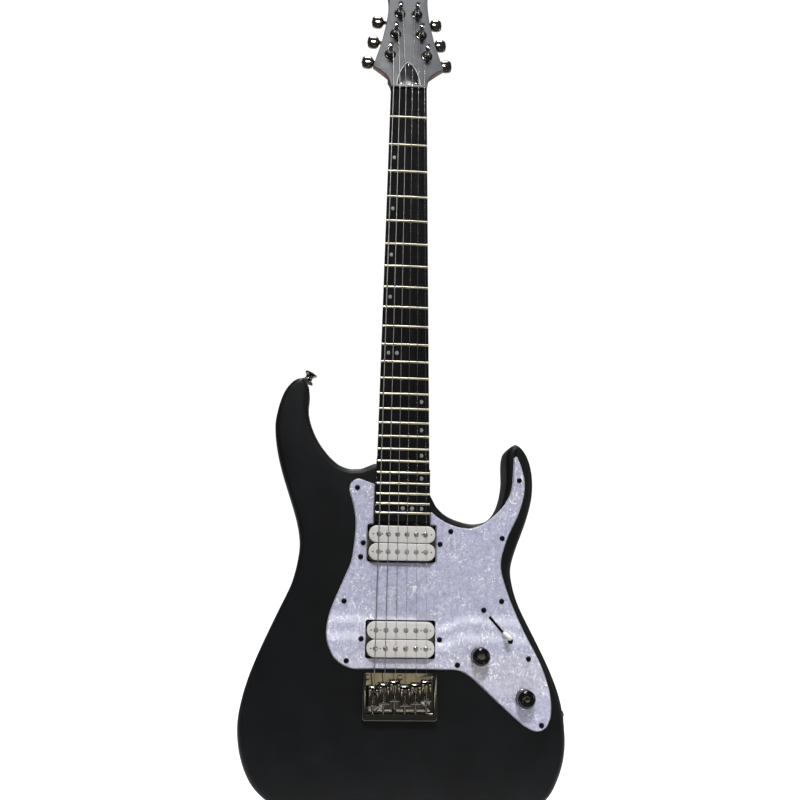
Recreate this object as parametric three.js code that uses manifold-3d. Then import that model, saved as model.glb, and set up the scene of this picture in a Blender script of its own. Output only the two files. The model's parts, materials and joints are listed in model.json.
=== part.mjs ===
// Electric guitar: bolt-on neck with 24 frets, two open humbuckers, hardtail bridge, strings through
// the body. Millimetres. X runs to the treble side, the front faces -Y, and Z runs up the neck.
// The origin is the middle of the nut line, in the plane of the fret tops.
import * as THREE from 'three';
import { mergeVertices } from 'three/addons/utils/BufferGeometryUtils.js';
import Module from 'manifold-3d';

const wasm = await Module();
wasm.setup();

// ---- Driving dimensions ----

const gap = 0.3; // left between pieces that touch

const scaleLength = 647.7;
const fretCount = 24;
const nutWidth = 41.2;
const twelfthFretWidth = 51.6;
const boardRadius = 355.6;
const boardThickness = 5.5;
const boardMargin = 9.2; // board past the last fret
const fretHeight = 1.2;
const fretFoot = 2.7;
const fretCrown = 1.0;
const nutThickness = 4;
const nutRise = 1.2; // nut above the fret tops
const neckDepthAtNut = 13.5; // wood behind the board
const neckDepthAtHeel = 15.5;
const heelLength = 62;

const headTilt = 10; // degrees
const headThickness = 14.5;
const headFaceAtNut = 7.4; // headstock face behind the fret tops
const trussRodRadius = 3;
const trussRodDepth = 6.6; // its middle line behind the board

const bodyThickness = 44;
const bodyFace = 10; // body face behind the fret tops
const bodyEdgeRadius = 6;
const bodyWidth = 330; // across the lower bout
const pocketDepth = 16;
const cavityDepth = 36;
const guardThickness = 2.3;

const stringSpreadAtNut = 35.7;
const stringSpreadAtBridge = 52.5;
const stringDiameters = [1.17, 0.91, 0.66, 0.43, 0.33, 0.25]; // low to high
const nutAction = 0.4; // string above the fret tops at the nut
const bridgeAction = 3.4;

const pickupLength = 68.6;
const bobbinWidth = 17.4;
const bobbinGap = 0.6;
const bobbinHeight = 11;
const pickupTop = 1; // bobbin face behind the fret tops
const pickupEar = 5.6; // height screw past the end of the bobbins
const pickupRecessMargin = 1.4;
const neckPickupOffset = 21.8; // middle of the pickup past the end of the board
const bridgePickupOffset = 34.4; // middle of the pickup before the bridge line

const bridgeSideRoom = 3.1; // between an outer saddle and the side wall
const bridgeLength = 45.5;
const bridgeLead = 1.2; // plate edge before the bridge line
const bridgeBase = 2.2;
const bridgeWall = 3;
const bridgeRearWall = 6.5;
const bridgeHeight = 8.5;
const saddleWidth = 10.3;
const saddleLength = 20.5;
const saddleHeight = 8;
const saddleSetbacks = [10.9, 8.1, 5.5, 9.9, 8.1, 5.3]; // low to high
const saddleTravel = 2; // room behind the saddle's crest
const stringHoleOffset = 19.6; // string holes past the bridge line
const stringHoleRadius = 1.6;

const postRadius = 3;
const postHeight = 18;
const bushingRadius = 4.7;
const postPlaces = [ // across and up the headstock, low to high string
  [-21.5, 52], [-15.2, 83], [-10.2, 114.5],
  [10.2, 114.5], [15.2, 83], [21.5, 52],
];
const gearTeeth = 14;
const gearModule = 0.6;
const gearThickness = 4.6;
const wormRadius = 1.6;
const toothShare = 0.3; // tooth width as a share of the pitch
const wormDepth = 7.5; // worm axis behind the headstock's back
const caseReach = 8; // post to the side of the gear case
const caseDepth = 12.6;
const buttonReach = 25.3; // post to the middle of the button
const buttonSize = [14, 9, 18.4]; // reach, thickness, height

const knobRadius = 9.4;
const knobHeight = 15;
const potRadius = 12;
const potDepth = 9;
const knobCrown = 5; // metal above the shaft
const knobLift = 0.8;
const shaftRadius = 3;
const switchPivotDepth = 18; // pivot behind the guard's face
const switchSwing = 28; // degrees each side
const switchTurn = -48; // slot from the X axis, degrees
const leverReach = 26;
const leverThickness = 1.4;
const leverWidth = 4;
const tipReach = 35;
const frameReach = 22.6; // half the switch frame along the slot
const frameWidth = 6.5; // half across

const jackBoreRadius = 3.25;
const jackSleeveRadius = 4.6;
const jackLength = 26;
const jackPlateSize = [1.5, 28, 38]; // thickness, across the rim, along the rim
const strapButtonRadius = 7;
const strapButtonLength = 12;
const plateSize = [44, 3, 50]; // neck plate across, thick, along

// ---- Sizes that follow ----

const boardTop = fretHeight;
const boardBottom = boardTop + boardThickness;
const neckTop = boardBottom + gap;
const lastFret = fretPlace(fretCount);
const boardEnd = lastFret + boardMargin;
const bridgeLine = scaleLength;
const bodyBack = bodyFace + bodyThickness;
const guardBack = bodyFace - gap;
const guardFace = guardBack - guardThickness;
const pocketFloor = bodyFace + pocketDepth;
const tilt = THREE.MathUtils.degToRad(headTilt);
const gearRadius = (gearModule * gearTeeth) / 2;
const wormOffset = gearRadius + wormRadius;
const wormLead = Math.PI * gearModule;

const bridgeWidth = stringSpreadAtBridge + saddleWidth + 2 * (bridgeWall + bridgeSideRoom);
const pickupScrewSpread = pickupLength + 2 * pickupEar;

// Outlines on the body are drawn from the end of the board for this distance to the bridge line and
// this width of body. A longer scale or a wider body stretches them.
const drawnSpan = 152.725;
const drawnWidth = 330;
const stretchDown = (bridgeLine - boardEnd) / drawnSpan;
const stretchAcross = bodyWidth / drawnWidth;
const hornTipRadius = 6.6; // the tightest bend of the drawn outline limits the edge's rounding
const edgeRadius = Math.min(bodyEdgeRadius, (hornTipRadius * stretchAcross ** 2) / stretchDown);

const bassHorn = [
  [-42.8, -56.5], [-55.6, -55.8], [-69.2, -61], [-85.3, -77.5], [-95.5, -95], [-100.8, -112],
  [-102, -126], [-101.6, -141], [-108.5, -152.8], [-119, -149], [-128.6, -135.5],
  [-134.8, -113], [-136.1, -99],
];
const bassSide = [
  [-133, -74], [-126.5, -49], [-117.9, -24], [-109.7, 1], [-106, 20], [-106.2, 35], [-112.1, 63],
  [-122.6, 87], [-138.7, 123], [-152.5, 158.5], [-160.2, 192], [-160.4, 214], [-155.2, 238],
  [-143.2, 261], [-120, 279],
];
const tail = [[-80, 289.5], [-35, 293.5], [5, 294], [45, 293], [92, 290], [130, 283]];
const trebleSide = [
  [150, 272.5], [161.5, 254], [168.3, 233], [169.8, 210], [165, 175], [151.5, 140], [133.3, 104],
  [121.7, 79.5], [115.8, 57], [115.5, 44], [121.5, 24], [131.5, -2], [138.5, -27],
];
const trebleHorn = [
  [139.9, -47], [137.4, -65], [131.3, -79], [122, -86.6], [114, -80], [111.4, -66], [111.6, -50],
  [110.5, -38], [106, -21], [98, -8.5], [86, -2], [73, -0.3], [60, -3], [49.6, -7], [41.5, -12.5],
  [36, -18.5],
];

const guardLeft = [
  [-46.3, -45.4], [-51.5, -43.2], [-55.2, -38.5], [-55.8, -32], [-53.1, -24], [-50.5, -14],
  [-48.6, -3], [-48.4, 9], [-49.4, 23], [-52, 41], [-57, 54], [-66.7, 77], [-72.6, 93],
  [-75.4, 108], [-74.5, 121], [-68.5, 135], [-60, 143.5], [-48, 147.7],
];
const guardRight = [
  [57.9, 148.2], [66.5, 151], [77, 158.5], [101, 180], [124, 199.8], [134.9, 206.3],
  [143.5, 207.3], [150.5, 202.5], [154.2, 193], [154.9, 180], [152.5, 164], [144, 140],
  [128.1, 110], [114.5, 80], [107.6, 60], [104.2, 45], [105.8, 31], [113, 10.5], [123.5, -11],
  [129.3, -30], [130.5, -46], [127, -62], [122.5, -73], [119.3, -71],
];
const guardHorn = [
  [118.4, -60], [116.3, -37], [109, -21.5], [98, -9.5], [86, 0], [73, 5.2], [59.5, 3.8],
  [46.8, -0.6], [37, -6.5],
];

// ---- Places ----

function fretPlace(number) {
  return scaleLength * (1 - 2 ** (-number / 12));
}

function down(distance) {
  return -distance;
}

function neckWidth(distance) {
  return nutWidth + ((twelfthFretWidth - nutWidth) * distance) / (scaleLength / 2);
}

function crown(across) {
  return boardRadius - Math.sqrt(boardRadius ** 2 - across ** 2);
}

// A place on the body, from the drawing, as [across, distance below the nut].
function bodyPlace([across, past]) {
  return [across * stretchAcross, boardEnd + past * stretchDown];
}

function stringAcross(number, distance) {
  const spread = stringSpreadAtNut + ((stringSpreadAtBridge - stringSpreadAtNut) * distance) / scaleLength;
  return spread * (number / 5 - 0.5);
}

// Depth of a string's middle line between the nut and its saddle.
function stringDepth(number, distance) {
  const share = distance / scaleLength;
  const action = nutAction + (bridgeAction - nutAction) * share;
  return crown(stringAcross(number, distance)) - action - stringDiameters[number] / 2;
}

function saddleFront(number) {
  return bridgeLine + saddleSetbacks[number];
}

const pickups = {
  neck: boardEnd + neckPickupOffset,
  bridge: bridgeLine - bridgePickupOffset,
};
const pickupSpan = 2 * bobbinWidth + bobbinGap;
const stringHoles = bridgeLine + stringHoleOffset;
const bridgeTop = bridgeLine - bridgeLead;
const bridgeMiddle = bridgeTop + bridgeLength / 2;
const volumePlace = bodyPlace([81.3, 134]);
const tonePlace = bodyPlace([127, 174.8]);
const switchPlace = bodyPlace([99.5, 103.5]);
const jackPlace = bodyPlace([169.8, 207]);
const hornButtonPlace = bodyPlace([-105.5, -152]);
const tailPlace = bodyPlace([0, 294]);
const platePlace = boardEnd - 29;

// ---- Shapes and solids ----

function roundedPath(points, perPoint = 2) {
  const places = points.map(([across, distance]) => new THREE.Vector3(across, down(distance), 0));
  const curve = new THREE.CatmullRomCurve3(places, false, 'centripetal');
  return curve.getPoints((points.length - 1) * perPoint).map((p) => new THREE.Vector2(p.x, p.y));
}

function outline(points) {
  return new THREE.Shape(points.map(([across, distance]) => new THREE.Vector2(across, down(distance))));
}

function roundedRectangle(width, height, radius, across = 0, distance = 0) {
  const shape = new THREE.Shape();
  const x = width / 2 - radius;
  const z = height / 2 - radius;
  const middle = down(distance);
  shape.absarc(across + x, middle + z, radius, 0, Math.PI / 2);
  shape.absarc(across - x, middle + z, radius, Math.PI / 2, Math.PI);
  shape.absarc(across - x, middle - z, radius, Math.PI, 1.5 * Math.PI);
  shape.absarc(across + x, middle - z, radius, 1.5 * Math.PI, 2 * Math.PI);
  shape.closePath();
  return shape;
}

// A long shape with round ends.
function stadium(length, width, distance) {
  const shape = new THREE.Shape();
  const x = (length - width) / 2;
  const middle = down(distance);
  shape.absarc(x, middle, width / 2, -Math.PI / 2, Math.PI / 2);
  shape.absarc(-x, middle, width / 2, Math.PI / 2, 1.5 * Math.PI);
  shape.closePath();
  return shape;
}

// Turns a closed geometry into a solid that faces out.
function solid(geometry) {
  const bare = geometry.clone();
  bare.deleteAttribute('normal');
  bare.deleteAttribute('uv');
  const merged = mergeVertices(bare, 1e-4);
  const positions = merged.attributes.position.array;
  const index = merged.index.array;
  const kept = [];
  let volume = 0;
  for (let i = 0; i < index.length; i += 3) {
    const [a, b, c] = [index[i], index[i + 1], index[i + 2]];
    if (a !== b && b !== c && c !== a) {
      kept.push(a, b, c);
      const corners = [a, b, c].map((k) => new THREE.Vector3().fromArray(positions, 3 * k));
      volume += corners[0].dot(corners[1].cross(corners[2]));
    }
  }
  const facing = volume < 0 ? kept.reverse() : kept;
  return new wasm.Manifold(new wasm.Mesh({
    numProp: 3,
    vertProperties: new Float32Array(positions),
    triVerts: new Uint32Array(facing),
  }));
}

function cut(base, ...tools) {
  return tools.reduce((piece, tool) => piece.subtract(tool), base);
}

function join(base, ...others) {
  return others.reduce((piece, other) => piece.add(other), base);
}

// A flat piece with an outline in the front view, between two depths.
function plate(shape, front, back, bevel = 0, curveSegments = 5) {
  const geometry = new THREE.ExtrudeGeometry(shape, {
    depth: back - front - 2 * bevel,
    bevelEnabled: bevel > 0,
    bevelThickness: bevel,
    bevelSize: bevel,
    bevelOffset: -bevel,
    bevelSegments: bevel > 2 ? 2 : 1,
    curveSegments,
  });
  geometry.rotateX(Math.PI / 2);
  geometry.translate(0, back - bevel, 0);
  return solid(geometry);
}

function box(low, high) {
  const size = high.map((value, axis) => value - low[axis]);
  const geometry = new THREE.BoxGeometry(...size);
  geometry.translate(...low.map((value, axis) => value + size[axis] / 2));
  return solid(geometry);
}

// A piece turned on the line from a point along a direction. The profile is [radius, along] pairs.
function turned(profile, from, direction, sides = 16) {
  const points = profile.map(([radius, along]) => new THREE.Vector2(radius, along));
  const geometry = new THREE.LatheGeometry(points, sides);
  const axis = new THREE.Vector3(...direction).normalize();
  const turn = new THREE.Quaternion().setFromUnitVectors(new THREE.Vector3(0, 1, 0), axis);
  geometry.applyQuaternion(turn);
  geometry.translate(...from);
  return solid(geometry);
}

function rod(from, direction, length, radius, sides = 16) {
  return turned([[0, 0], [radius, 0], [radius, length], [0, length]], from, direction, sides);
}

// A skin over a row of rings, each a list of [x, y, z], closed by its first and last ring.
function loft(rings) {
  const count = rings[0].length;
  const index = [];
  for (let i = 0; i + 1 < rings.length; i += 1) {
    for (let j = 0; j < count; j += 1) {
      const here = i * count + j;
      const next = i * count + ((j + 1) % count);
      index.push(here, next, here + count);
      index.push(next, next + count, here + count);
    }
  }
  const last = (rings.length - 1) * count;
  for (let j = 1; j + 1 < count; j += 1) {
    index.push(0, j + 1, j);
    index.push(last, last + j, last + j + 1);
  }
  const geometry = new THREE.BufferGeometry();
  geometry.setAttribute('position', new THREE.Float32BufferAttribute(rings.flat(2), 3));
  geometry.setIndex(index);
  return solid(geometry);
}

// A round wire through a row of points that runs mainly along Y and Z.
function wire(points, radius, sides = 6) {
  const places = points.map((point) => new THREE.Vector3(...point));
  const rings = places.map((place, i) => {
    const before = places[Math.max(i - 1, 0)];
    const after = places[Math.min(i + 1, places.length - 1)];
    const along = after.clone().sub(before).normalize();
    const across = new THREE.Vector3(1, 0, 0).addScaledVector(along, -along.x).normalize();
    const up = along.clone().cross(across);
    return Array.from({ length: sides }, (_, j) => {
      const angle = (2 * Math.PI * j) / sides;
      const point = place.clone();
      point.addScaledVector(across, radius * Math.cos(angle));
      point.addScaledVector(up, radius * Math.sin(angle));
      return point.toArray();
    });
  });
  return loft(rings);
}

const guitar = new THREE.Group();

// The headstock's own space: X across, -Y out of its face, Z up along the face from the nut.
const headstock = new THREE.Group();
headstock.position.set(0, headFaceAtNut, 0);
headstock.rotation.x = -tilt;
headstock.updateMatrix();
guitar.add(headstock);

function inHeadstock(piece) {
  return piece.transform(headstock.matrix.elements);
}

function add(name, piece, colour, roughness, metalness, parent = guitar) {
  const { vertProperties, triVerts, numProp } = piece.getMesh();
  const geometry = new THREE.BufferGeometry();
  const positions = new Float32Array((vertProperties.length / numProp) * 3);
  for (let i = 0; i < positions.length; i += 1) {
    positions[i] = vertProperties[Math.floor(i / 3) * numProp + (i % 3)];
  }
  geometry.setAttribute('position', new THREE.BufferAttribute(positions, 3));
  geometry.setIndex(new THREE.BufferAttribute(new Uint32Array(triVerts), 1));
  geometry.computeVertexNormals();
  const material = new THREE.MeshStandardMaterial({ color: colour, roughness, metalness });
  const mesh = new THREE.Mesh(geometry, material);
  mesh.name = name;
  parent.add(mesh);
  return mesh;
}

// ---- Body ----

function bodyOutline() {
  const edge = [...bassHorn, ...bassSide, ...tail, ...trebleSide, ...trebleHorn].map(bodyPlace);
  const heel = neckWidth(boardEnd) / 2 + 1.4;
  const shape = new THREE.Shape();
  shape.moveTo(-heel, down(boardEnd - heelLength));
  roundedPath(edge).forEach((point) => shape.lineTo(point.x, point.y));
  shape.lineTo(heel, down(boardEnd - 30));
  shape.lineTo(heel, down(boardEnd - heelLength + 5));
  shape.closePath();
  return shape;
}

function neckPocket() {
  const start = boardEnd - heelLength - bodyEdgeRadius - 2;
  const end = boardEnd + gap;
  const shape = outline([
    [-neckWidth(start) / 2 - gap, start], [neckWidth(start) / 2 + gap, start],
    [neckWidth(end) / 2 + gap, end], [-neckWidth(end) / 2 - gap, end],
  ]);
  return plate(shape, bodyFace - 1, pocketFloor);
}

function pickupCavity(middle) {
  const width = pickupScrewSpread + 9;
  const height = pickupSpan + 2 * pickupRecessMargin;
  return plate(roundedRectangle(width, height, 5, 0, middle), bodyFace - 1, bodyFace + 19, 0, 2);
}

// The room for the switch and both pots, a belt around three circles.
function controlCavity() {
  const back = bodyFace + cavityDepth;
  const holes = [
    [...switchPlace, 19], [...tonePlace, potRadius + 3], [...volumePlace, potRadius + 3],
  ];
  const switchRoom = new THREE.BoxGeometry(2 * frameReach + 2, cavityDepth + 1, 2 * frameWidth + 2);
  switchRoom.rotateY(THREE.MathUtils.degToRad(-switchTurn));
  switchRoom.translate(switchPlace[0], back - (cavityDepth + 1) / 2, down(switchPlace[1]));
  return holes.reduce((room, [x, s, r], i) => {
    const [nextX, nextS, nextR] = holes[(i + 1) % holes.length];
    const run = new THREE.Vector2(nextX - x, nextS - s);
    const side = new THREE.Vector2(-run.y, run.x).normalize();
    const belt = outline([
      [x + side.x * r, s + side.y * r], [nextX + side.x * nextR, nextS + side.y * nextR],
      [nextX - side.x * nextR, nextS - side.y * nextR], [x - side.x * r, s - side.y * r],
    ]);
    const circle = rod([x, bodyFace - 1, down(s)], [0, 1, 0], cavityDepth + 1, r, 16);
    return join(room, circle, plate(belt, bodyFace - 1, back));
  }, solid(switchRoom));
}

function wireWays() {
  const depth = bodyFace + 14;
  const [jackX, jackS] = jackPlace;
  const jackDepth = bodyFace + bodyThickness / 2;
  const acrossLength = volumePlace[0];
  return join(
    rod([0, depth, down(pickups.neck)], [0, 0, -1], pickups.bridge - pickups.neck, 4, 8),
    rod([0, depth, down(pickups.bridge)], [1, 0, 0], acrossLength, 4, 8),
    rod([jackX - jackLength - 12, jackDepth, down(jackS)], [1, 0, 0], jackLength + 14, 9, 16),
    rod([jackX - jackLength - 6, jackDepth, down(jackS)], [0, 0, 1], jackS - tonePlace[1], 5, 8),
  );
}

function stringBores() {
  const bores = stringDiameters.map((_, i) => {
    const x = stringAcross(i, stringHoles);
    return rod([x, bodyFace - 1, down(stringHoles)], [0, 1, 0], bodyThickness + 2, stringHoleRadius + 0.4, 8);
  });
  return join(...bores);
}

function jackSeat() {
  const [thickness, across, along] = jackPlateSize;
  const x = jackPlace[0] - thickness;
  const y = bodyFace + bodyThickness / 2;
  const z = down(jackPlace[1]);
  const high = [x + 8, y + across / 2 + gap, z + along / 2 + gap];
  return box([x - gap, y - across / 2 - gap, z - along / 2 - gap], high);
}

const hornAxis = [0.45, 0, 0.89];

function makeBody() {
  const blank = plate(bodyOutline(), bodyFace, bodyBack, edgeRadius);
  const y = bodyFace + bodyThickness / 2;
  const [hornX, hornS] = hornButtonPlace;
  const [tailX, tailS] = tailPlace;
  return cut(
    blank, neckPocket(), pickupCavity(pickups.neck), pickupCavity(pickups.bridge), controlCavity(),
    wireWays(), stringBores(), jackSeat(),
    rod([hornX, y, down(hornS) - gap], hornAxis, 20, strapButtonRadius + 1, 16),
    rod([tailX, y, down(tailS) + gap + 1.2], [0, 0, -1], 20, strapButtonRadius + 1, 16),
  );
}

// ---- Neck ----

// One section of the neck: flat in front, and round or square behind as the power sets.
function neckSection(distance, halfWidth, depth, power) {
  const steps = 12;
  return Array.from({ length: steps + 1 }, (_, j) => {
    const angle = (Math.PI * j) / steps;
    const x = Math.sign(Math.cos(angle)) * Math.abs(Math.cos(angle)) ** (2 / power) * halfWidth;
    const y = neckTop + Math.sin(angle) ** (2 / power) * depth;
    return [Math.abs(x) < 1e-6 ? 0 : x, y, down(distance)];
  });
}

function neckShaft() {
  const heelStart = boardEnd - heelLength;
  const heelDepth = pocketFloor - gap - neckTop;
  const stations = [
    [-2, neckDepthAtNut - 0.5, 2.2], [heelStart / 2, (neckDepthAtNut + neckDepthAtHeel) / 2, 2.2],
    [heelStart - 30, neckDepthAtHeel, 2.2], [heelStart - 16, neckDepthAtHeel + 0.6, 2.8],
    [heelStart - 5, heelDepth - 1.2, 6], [heelStart + 4, heelDepth, 24], [boardEnd, heelDepth, 24],
  ];
  return loft(stations.map(([s, depth, power]) => neckSection(s, neckWidth(s) / 2, depth, power)));
}

function headOutline() {
  const throat = nutWidth / 2;
  const wing = throat + 20.8;
  const side = [
    [throat, -6], [throat, 3], [throat + 1.2, 12], [throat + 4.2, 20], [throat + 10, 26.5],
    [wing - 2, 32.4],
  ];
  const upper = [
    [wing, 34.6], [wing - 5.4, 54], [wing - 9.8, 71], [wing - 13.4, 90], [wing - 16, 106],
    [wing - 17.6, 122], [wing - 18, 140], [wing - 16, 156], [wing - 13.6, 168],
  ];
  const tip = [[wing - 14.6, 174], [wing - 24, 181], [wing - 34, 184.6]];
  const shape = new THREE.Shape();
  const half = [
    ...roundedPath(side.map(([x, h]) => [x, -h])), ...roundedPath(upper.map(([x, h]) => [x, -h]), 1),
    ...roundedPath(tip.map(([x, h]) => [x, -h]), 1),
  ];
  shape.setFromPoints([...half, ...half.map((p) => new THREE.Vector2(-p.x, p.y)).reverse()]);
  return shape;
}

// The slope of wood that joins the back of the neck to the back of the headstock.
function headThroat() {
  const half = nutWidth / 2;
  const slice = (distance, front, depth) => neckSection(distance, half, depth, 2.4)
    .map(([x, y, z]) => [x * 0.995, y - neckTop + front, z]);
  const rise = (s) => headFaceAtNut + Math.sin(tilt) * s + 0.2;
  return loft([
    slice(14, neckTop + 0.01, neckDepthAtNut + 0.1), slice(0, neckTop + 0.4, neckDepthAtNut + 1.5),
    slice(-10, rise(10), headThickness + 0.6), slice(-24, rise(24), headThickness - 0.8),
  ]);
}

function trussRodWay() {
  const y = boardBottom + trussRodDepth;
  const half = trussRodRadius + gap;
  return join(
    box([-half, boardBottom - 1, down(boardEnd - 20)], [half, y + half, 32]),
    box([-7, headFaceAtNut - 6, nutThickness + 1], [7, y + 4.5, 32]),
  );
}

function makeNeck() {
  const head = plate(headOutline(), 0, headThickness, 1.2);
  const holes = postPlaces.map(([x, h]) =>
    rod([x, -1, h], [0, 1, 0], headThickness + 2, bushingRadius + gap, 12));
  const trim = box([-60, -30, down(60)], [60, neckTop, down(-2)]);
  const wood = join(inHeadstock(cut(head, ...holes)), headThroat());
  return cut(join(cut(wood, trim), neckShaft()), trussRodWay());
}

function makeBoard() {
  const startHalf = nutWidth / 2;
  const endHalf = neckWidth(boardEnd) / 2;
  const section = (distance, half) => {
    const steps = 4;
    const top = Array.from({ length: steps + 1 }, (_, j) => {
      const x = half * (1 - (2 * j) / steps);
      return [x, boardTop + crown(x), down(distance)];
    });
    return [...top, [-half, boardBottom, down(distance)], [half, boardBottom, down(distance)]];
  };
  const board = loft([section(0, startHalf), section(boardEnd, endHalf)]);
  const frets = Array.from({ length: fretCount }, (_, i) => makeFret(fretPlace(i + 1)));
  return join(board, ...frets);
}

function makeFret(distance) {
  const half = neckWidth(distance) / 2 - 0.2;
  const steps = 4;
  const rings = Array.from({ length: steps + 1 }, (_, j) => {
    const x = half * ((2 * j) / steps - 1);
    const crownX = x * (1 - 0.8 / half);
    const foot = boardTop + crown(x) + 0.5;
    const top = crown(crownX);
    return [
      [x, foot, down(distance - fretFoot / 2)], [crownX, top, down(distance - fretCrown / 2)],
      [crownX, top, down(distance + fretCrown / 2)], [x, foot, down(distance + fretFoot / 2)],
    ];
  });
  return loft(rings);
}

function makeNut() {
  const half = nutWidth / 2;
  const top = -nutRise;
  const blank = loft([-1, -0.4, 0.4, 1].map((side) => [
    [side * half, top + crown(side * half), nutThickness], [side * half, top + crown(side * half), gap],
    [side * half, boardBottom, gap], [side * half, boardBottom, nutThickness],
  ]));
  const slots = stringDiameters.map((diameter, i) => {
    const x = stringAcross(i, 0);
    const y = stringDepth(i, 0);
    const slotHalf = diameter / 2 + 0.2;
    return box([x - slotHalf, y - 6, -1], [x + slotHalf, y + diameter / 2 + 0.25, nutThickness + 2]);
  });
  return cut(blank, ...slots);
}

function makeTrussRod() {
  const y = boardBottom + trussRodDepth;
  const end = boardEnd - 21;
  const bar = rod([0, y, down(end)], [0, 0, 1], end + nutThickness + 3, trussRodRadius, 8);
  return join(bar, rod([0, y, nutThickness + 2], [0, 0, 1], 6.5, trussRodRadius + 0.3, 6));
}

function makeTrussCover() {
  const arch = new THREE.Shape();
  arch.moveTo(-14, nutThickness + 1.5);
  arch.bezierCurveTo(-13.5, 20, -9, 33, -2.2, 40);
  arch.quadraticCurveTo(0, 42, 2.2, 40);
  arch.bezierCurveTo(9, 33, 13.5, 20, 14, nutThickness + 1.5);
  arch.closePath();
  return plate(arch, -1.5 - gap, -gap, 0.3, 6);
}

// ---- Tuners, in the headstock's space ----

const headBack = headThickness;
const wormY = headBack + wormDepth;
const gearFront = wormY - gearThickness / 2;

function makeCase(x, h, side) {
  const shell = roundedRectangle(2 * caseReach, 17.6, 2.5, x, -(h + 1.6));
  const outer = plate(shell, headBack + gap, headBack + gap + caseDepth, 0, 2);
  const tube = rod([x, -1, h], [0, 1, 0], headBack + 3, bushingRadius, 8);
  const washer = rod([x, -1 - gap, h], [0, 1, 0], 1, 6.8, 12);
  const hexNut = rod([x, -3.4 - gap, h], [0, 1, 0], 2.6, 5.9, 6);
  const gearRoom = rod([x, gearFront - gap, h], [0, 1, 0], gearThickness + 2 * gap, gearRadius + 1, 10);
  const wormRoom = rod([x - side * 7, wormY, h + wormOffset], [side, 0, 0], 20, wormRadius + 1.2, 8);
  const bore = rod([x, -6, h], [0, 1, 0], wormY + 6, postRadius + gap, 8);
  const foot = rod([x, wormY, h], [0, 1, 0], gearThickness / 2 + 1.8, postRadius - 1 + gap, 8);
  return cut(join(outer, tube, washer, hexNut), gearRoom, wormRoom, bore, foot);
}

// A straight-toothed wheel on the post, one tooth facing the worm.
function gearShape(x, h) {
  const root = gearRadius - 0.65;
  const top = gearRadius + 0.5;
  const pitch = (2 * Math.PI) / gearTeeth;
  const half = (toothShare / 2) * pitch;
  const corners = Array.from({ length: gearTeeth }, (_, i) => {
    const angle = Math.PI / 2 + i * pitch;
    return [
      [root, angle - half * 1.3], [top, angle - half * 0.5],
      [top, angle + half * 0.5], [root, angle + half * 1.3],
    ];
  }).flat();
  return new THREE.Shape(
    corners.map(([r, a]) => new THREE.Vector2(x + r * Math.cos(a), h + r * Math.sin(a))),
  );
}

function makePost(x, h) {
  const profile = [
    [0, -postHeight], [postRadius, -postHeight], [postRadius, -12.5], [postRadius - 0.7, -10.5],
    [postRadius - 0.7, -7], [postRadius, -5.5],
    [postRadius, gearFront + 0.4], [postRadius - 1, gearFront + 0.4],
    [postRadius - 1, gearFront + gearThickness + 1.2], [0, gearFront + gearThickness + 1.2],
  ];
  const post = turned(profile, [x, 0, h], [0, 1, 0], 8);
  const gear = plate(gearShape(x, h), gearFront, gearFront + gearThickness);
  const eye = rod([x - 5, -14.6, h], [1, 0, 0], 10, 0.9, 4);
  return cut(join(post, gear), eye);
}

// The worm's thread: a helix whose gap faces the wheel's tooth at rest.
function wormThread(x, h) {
  const steps = 8;
  const turns = 2;
  const half = (toothShare / 2) * wormLead;
  const root = wormRadius - 0.7;
  const top = wormRadius + 0.45;
  const tooth = [[root, -half], [top, -half * 0.8], [top, half * 0.8], [root, half]];
  const count = steps * turns;
  const rings = Array.from({ length: count + 1 }, (_, i) => {
    const angle = (2 * Math.PI * i) / steps;
    const along = x - (turns * wormLead) / 2 + (wormLead * i) / steps;
    return tooth.map(([r, shift]) =>
      [along + shift, wormY + r * Math.sin(angle), h + wormOffset + r * Math.cos(angle)]);
  });
  return loft(rings);
}

function makeButton(x, h, side) {
  const z = h + wormOffset;
  const core = rod([x - side * 6.6, wormY, z], [side, 0, 0], 6.6 + buttonReach, wormRadius - 0.55, 6);
  const collar = rod([x + side * 5, wormY, z], [side, 0, 0], caseReach - 4, wormRadius + 0.8, 8);
  const stem = rod([x + side * (caseReach + 1.2), wormY, z], [side, 0, 0], 12, 2.4, 8);
  const [reach, thick, high] = buttonSize;
  const sections = [[-0.5, 0.4], [-0.36, 0.86], [0, 1], [0.36, 0.86], [0.5, 0.45]];
  const rings = sections.map(([share, size]) => Array.from({ length: 10 }, (_, j) => {
    const angle = (2 * Math.PI * j) / 10;
    const y = wormY + (thick / 2) * Math.sin(angle) * (0.4 + 0.6 * size);
    return [x + side * (buttonReach + share * reach), y, z + (high / 2) * size * Math.cos(angle)];
  }));
  return join(core, collar, stem, loft(rings), wormThread(x, h));
}

function addTuners() {
  postPlaces.forEach(([x, h], i) => {
    const side = Math.sign(x);
    const number = 6 - i;
    add(`tuner_case_${number}`, makeCase(x, h, side), 0x2b2b2e, 0.25, 0.9, headstock);
    add(`tuner_post_${number}`, makePost(x, h), 0x9b9b9b, 0.2, 1, headstock);
    add(`tuner_button_${number}`, makeButton(x, h, side), 0x3a3a3d, 0.2, 0.95, headstock);
  });
}

// ---- Strings ----

// Where a string leaves its post, on the inner side, in the headstock's space.
function stringEnd(number) {
  const [x, h] = postPlaces[number];
  const reach = postRadius + stringDiameters[number] + gap;
  const place = new THREE.Vector3(x - Math.sign(x) * reach, -8.6, h);
  return place.applyMatrix4(headstock.matrix).toArray();
}

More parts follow.
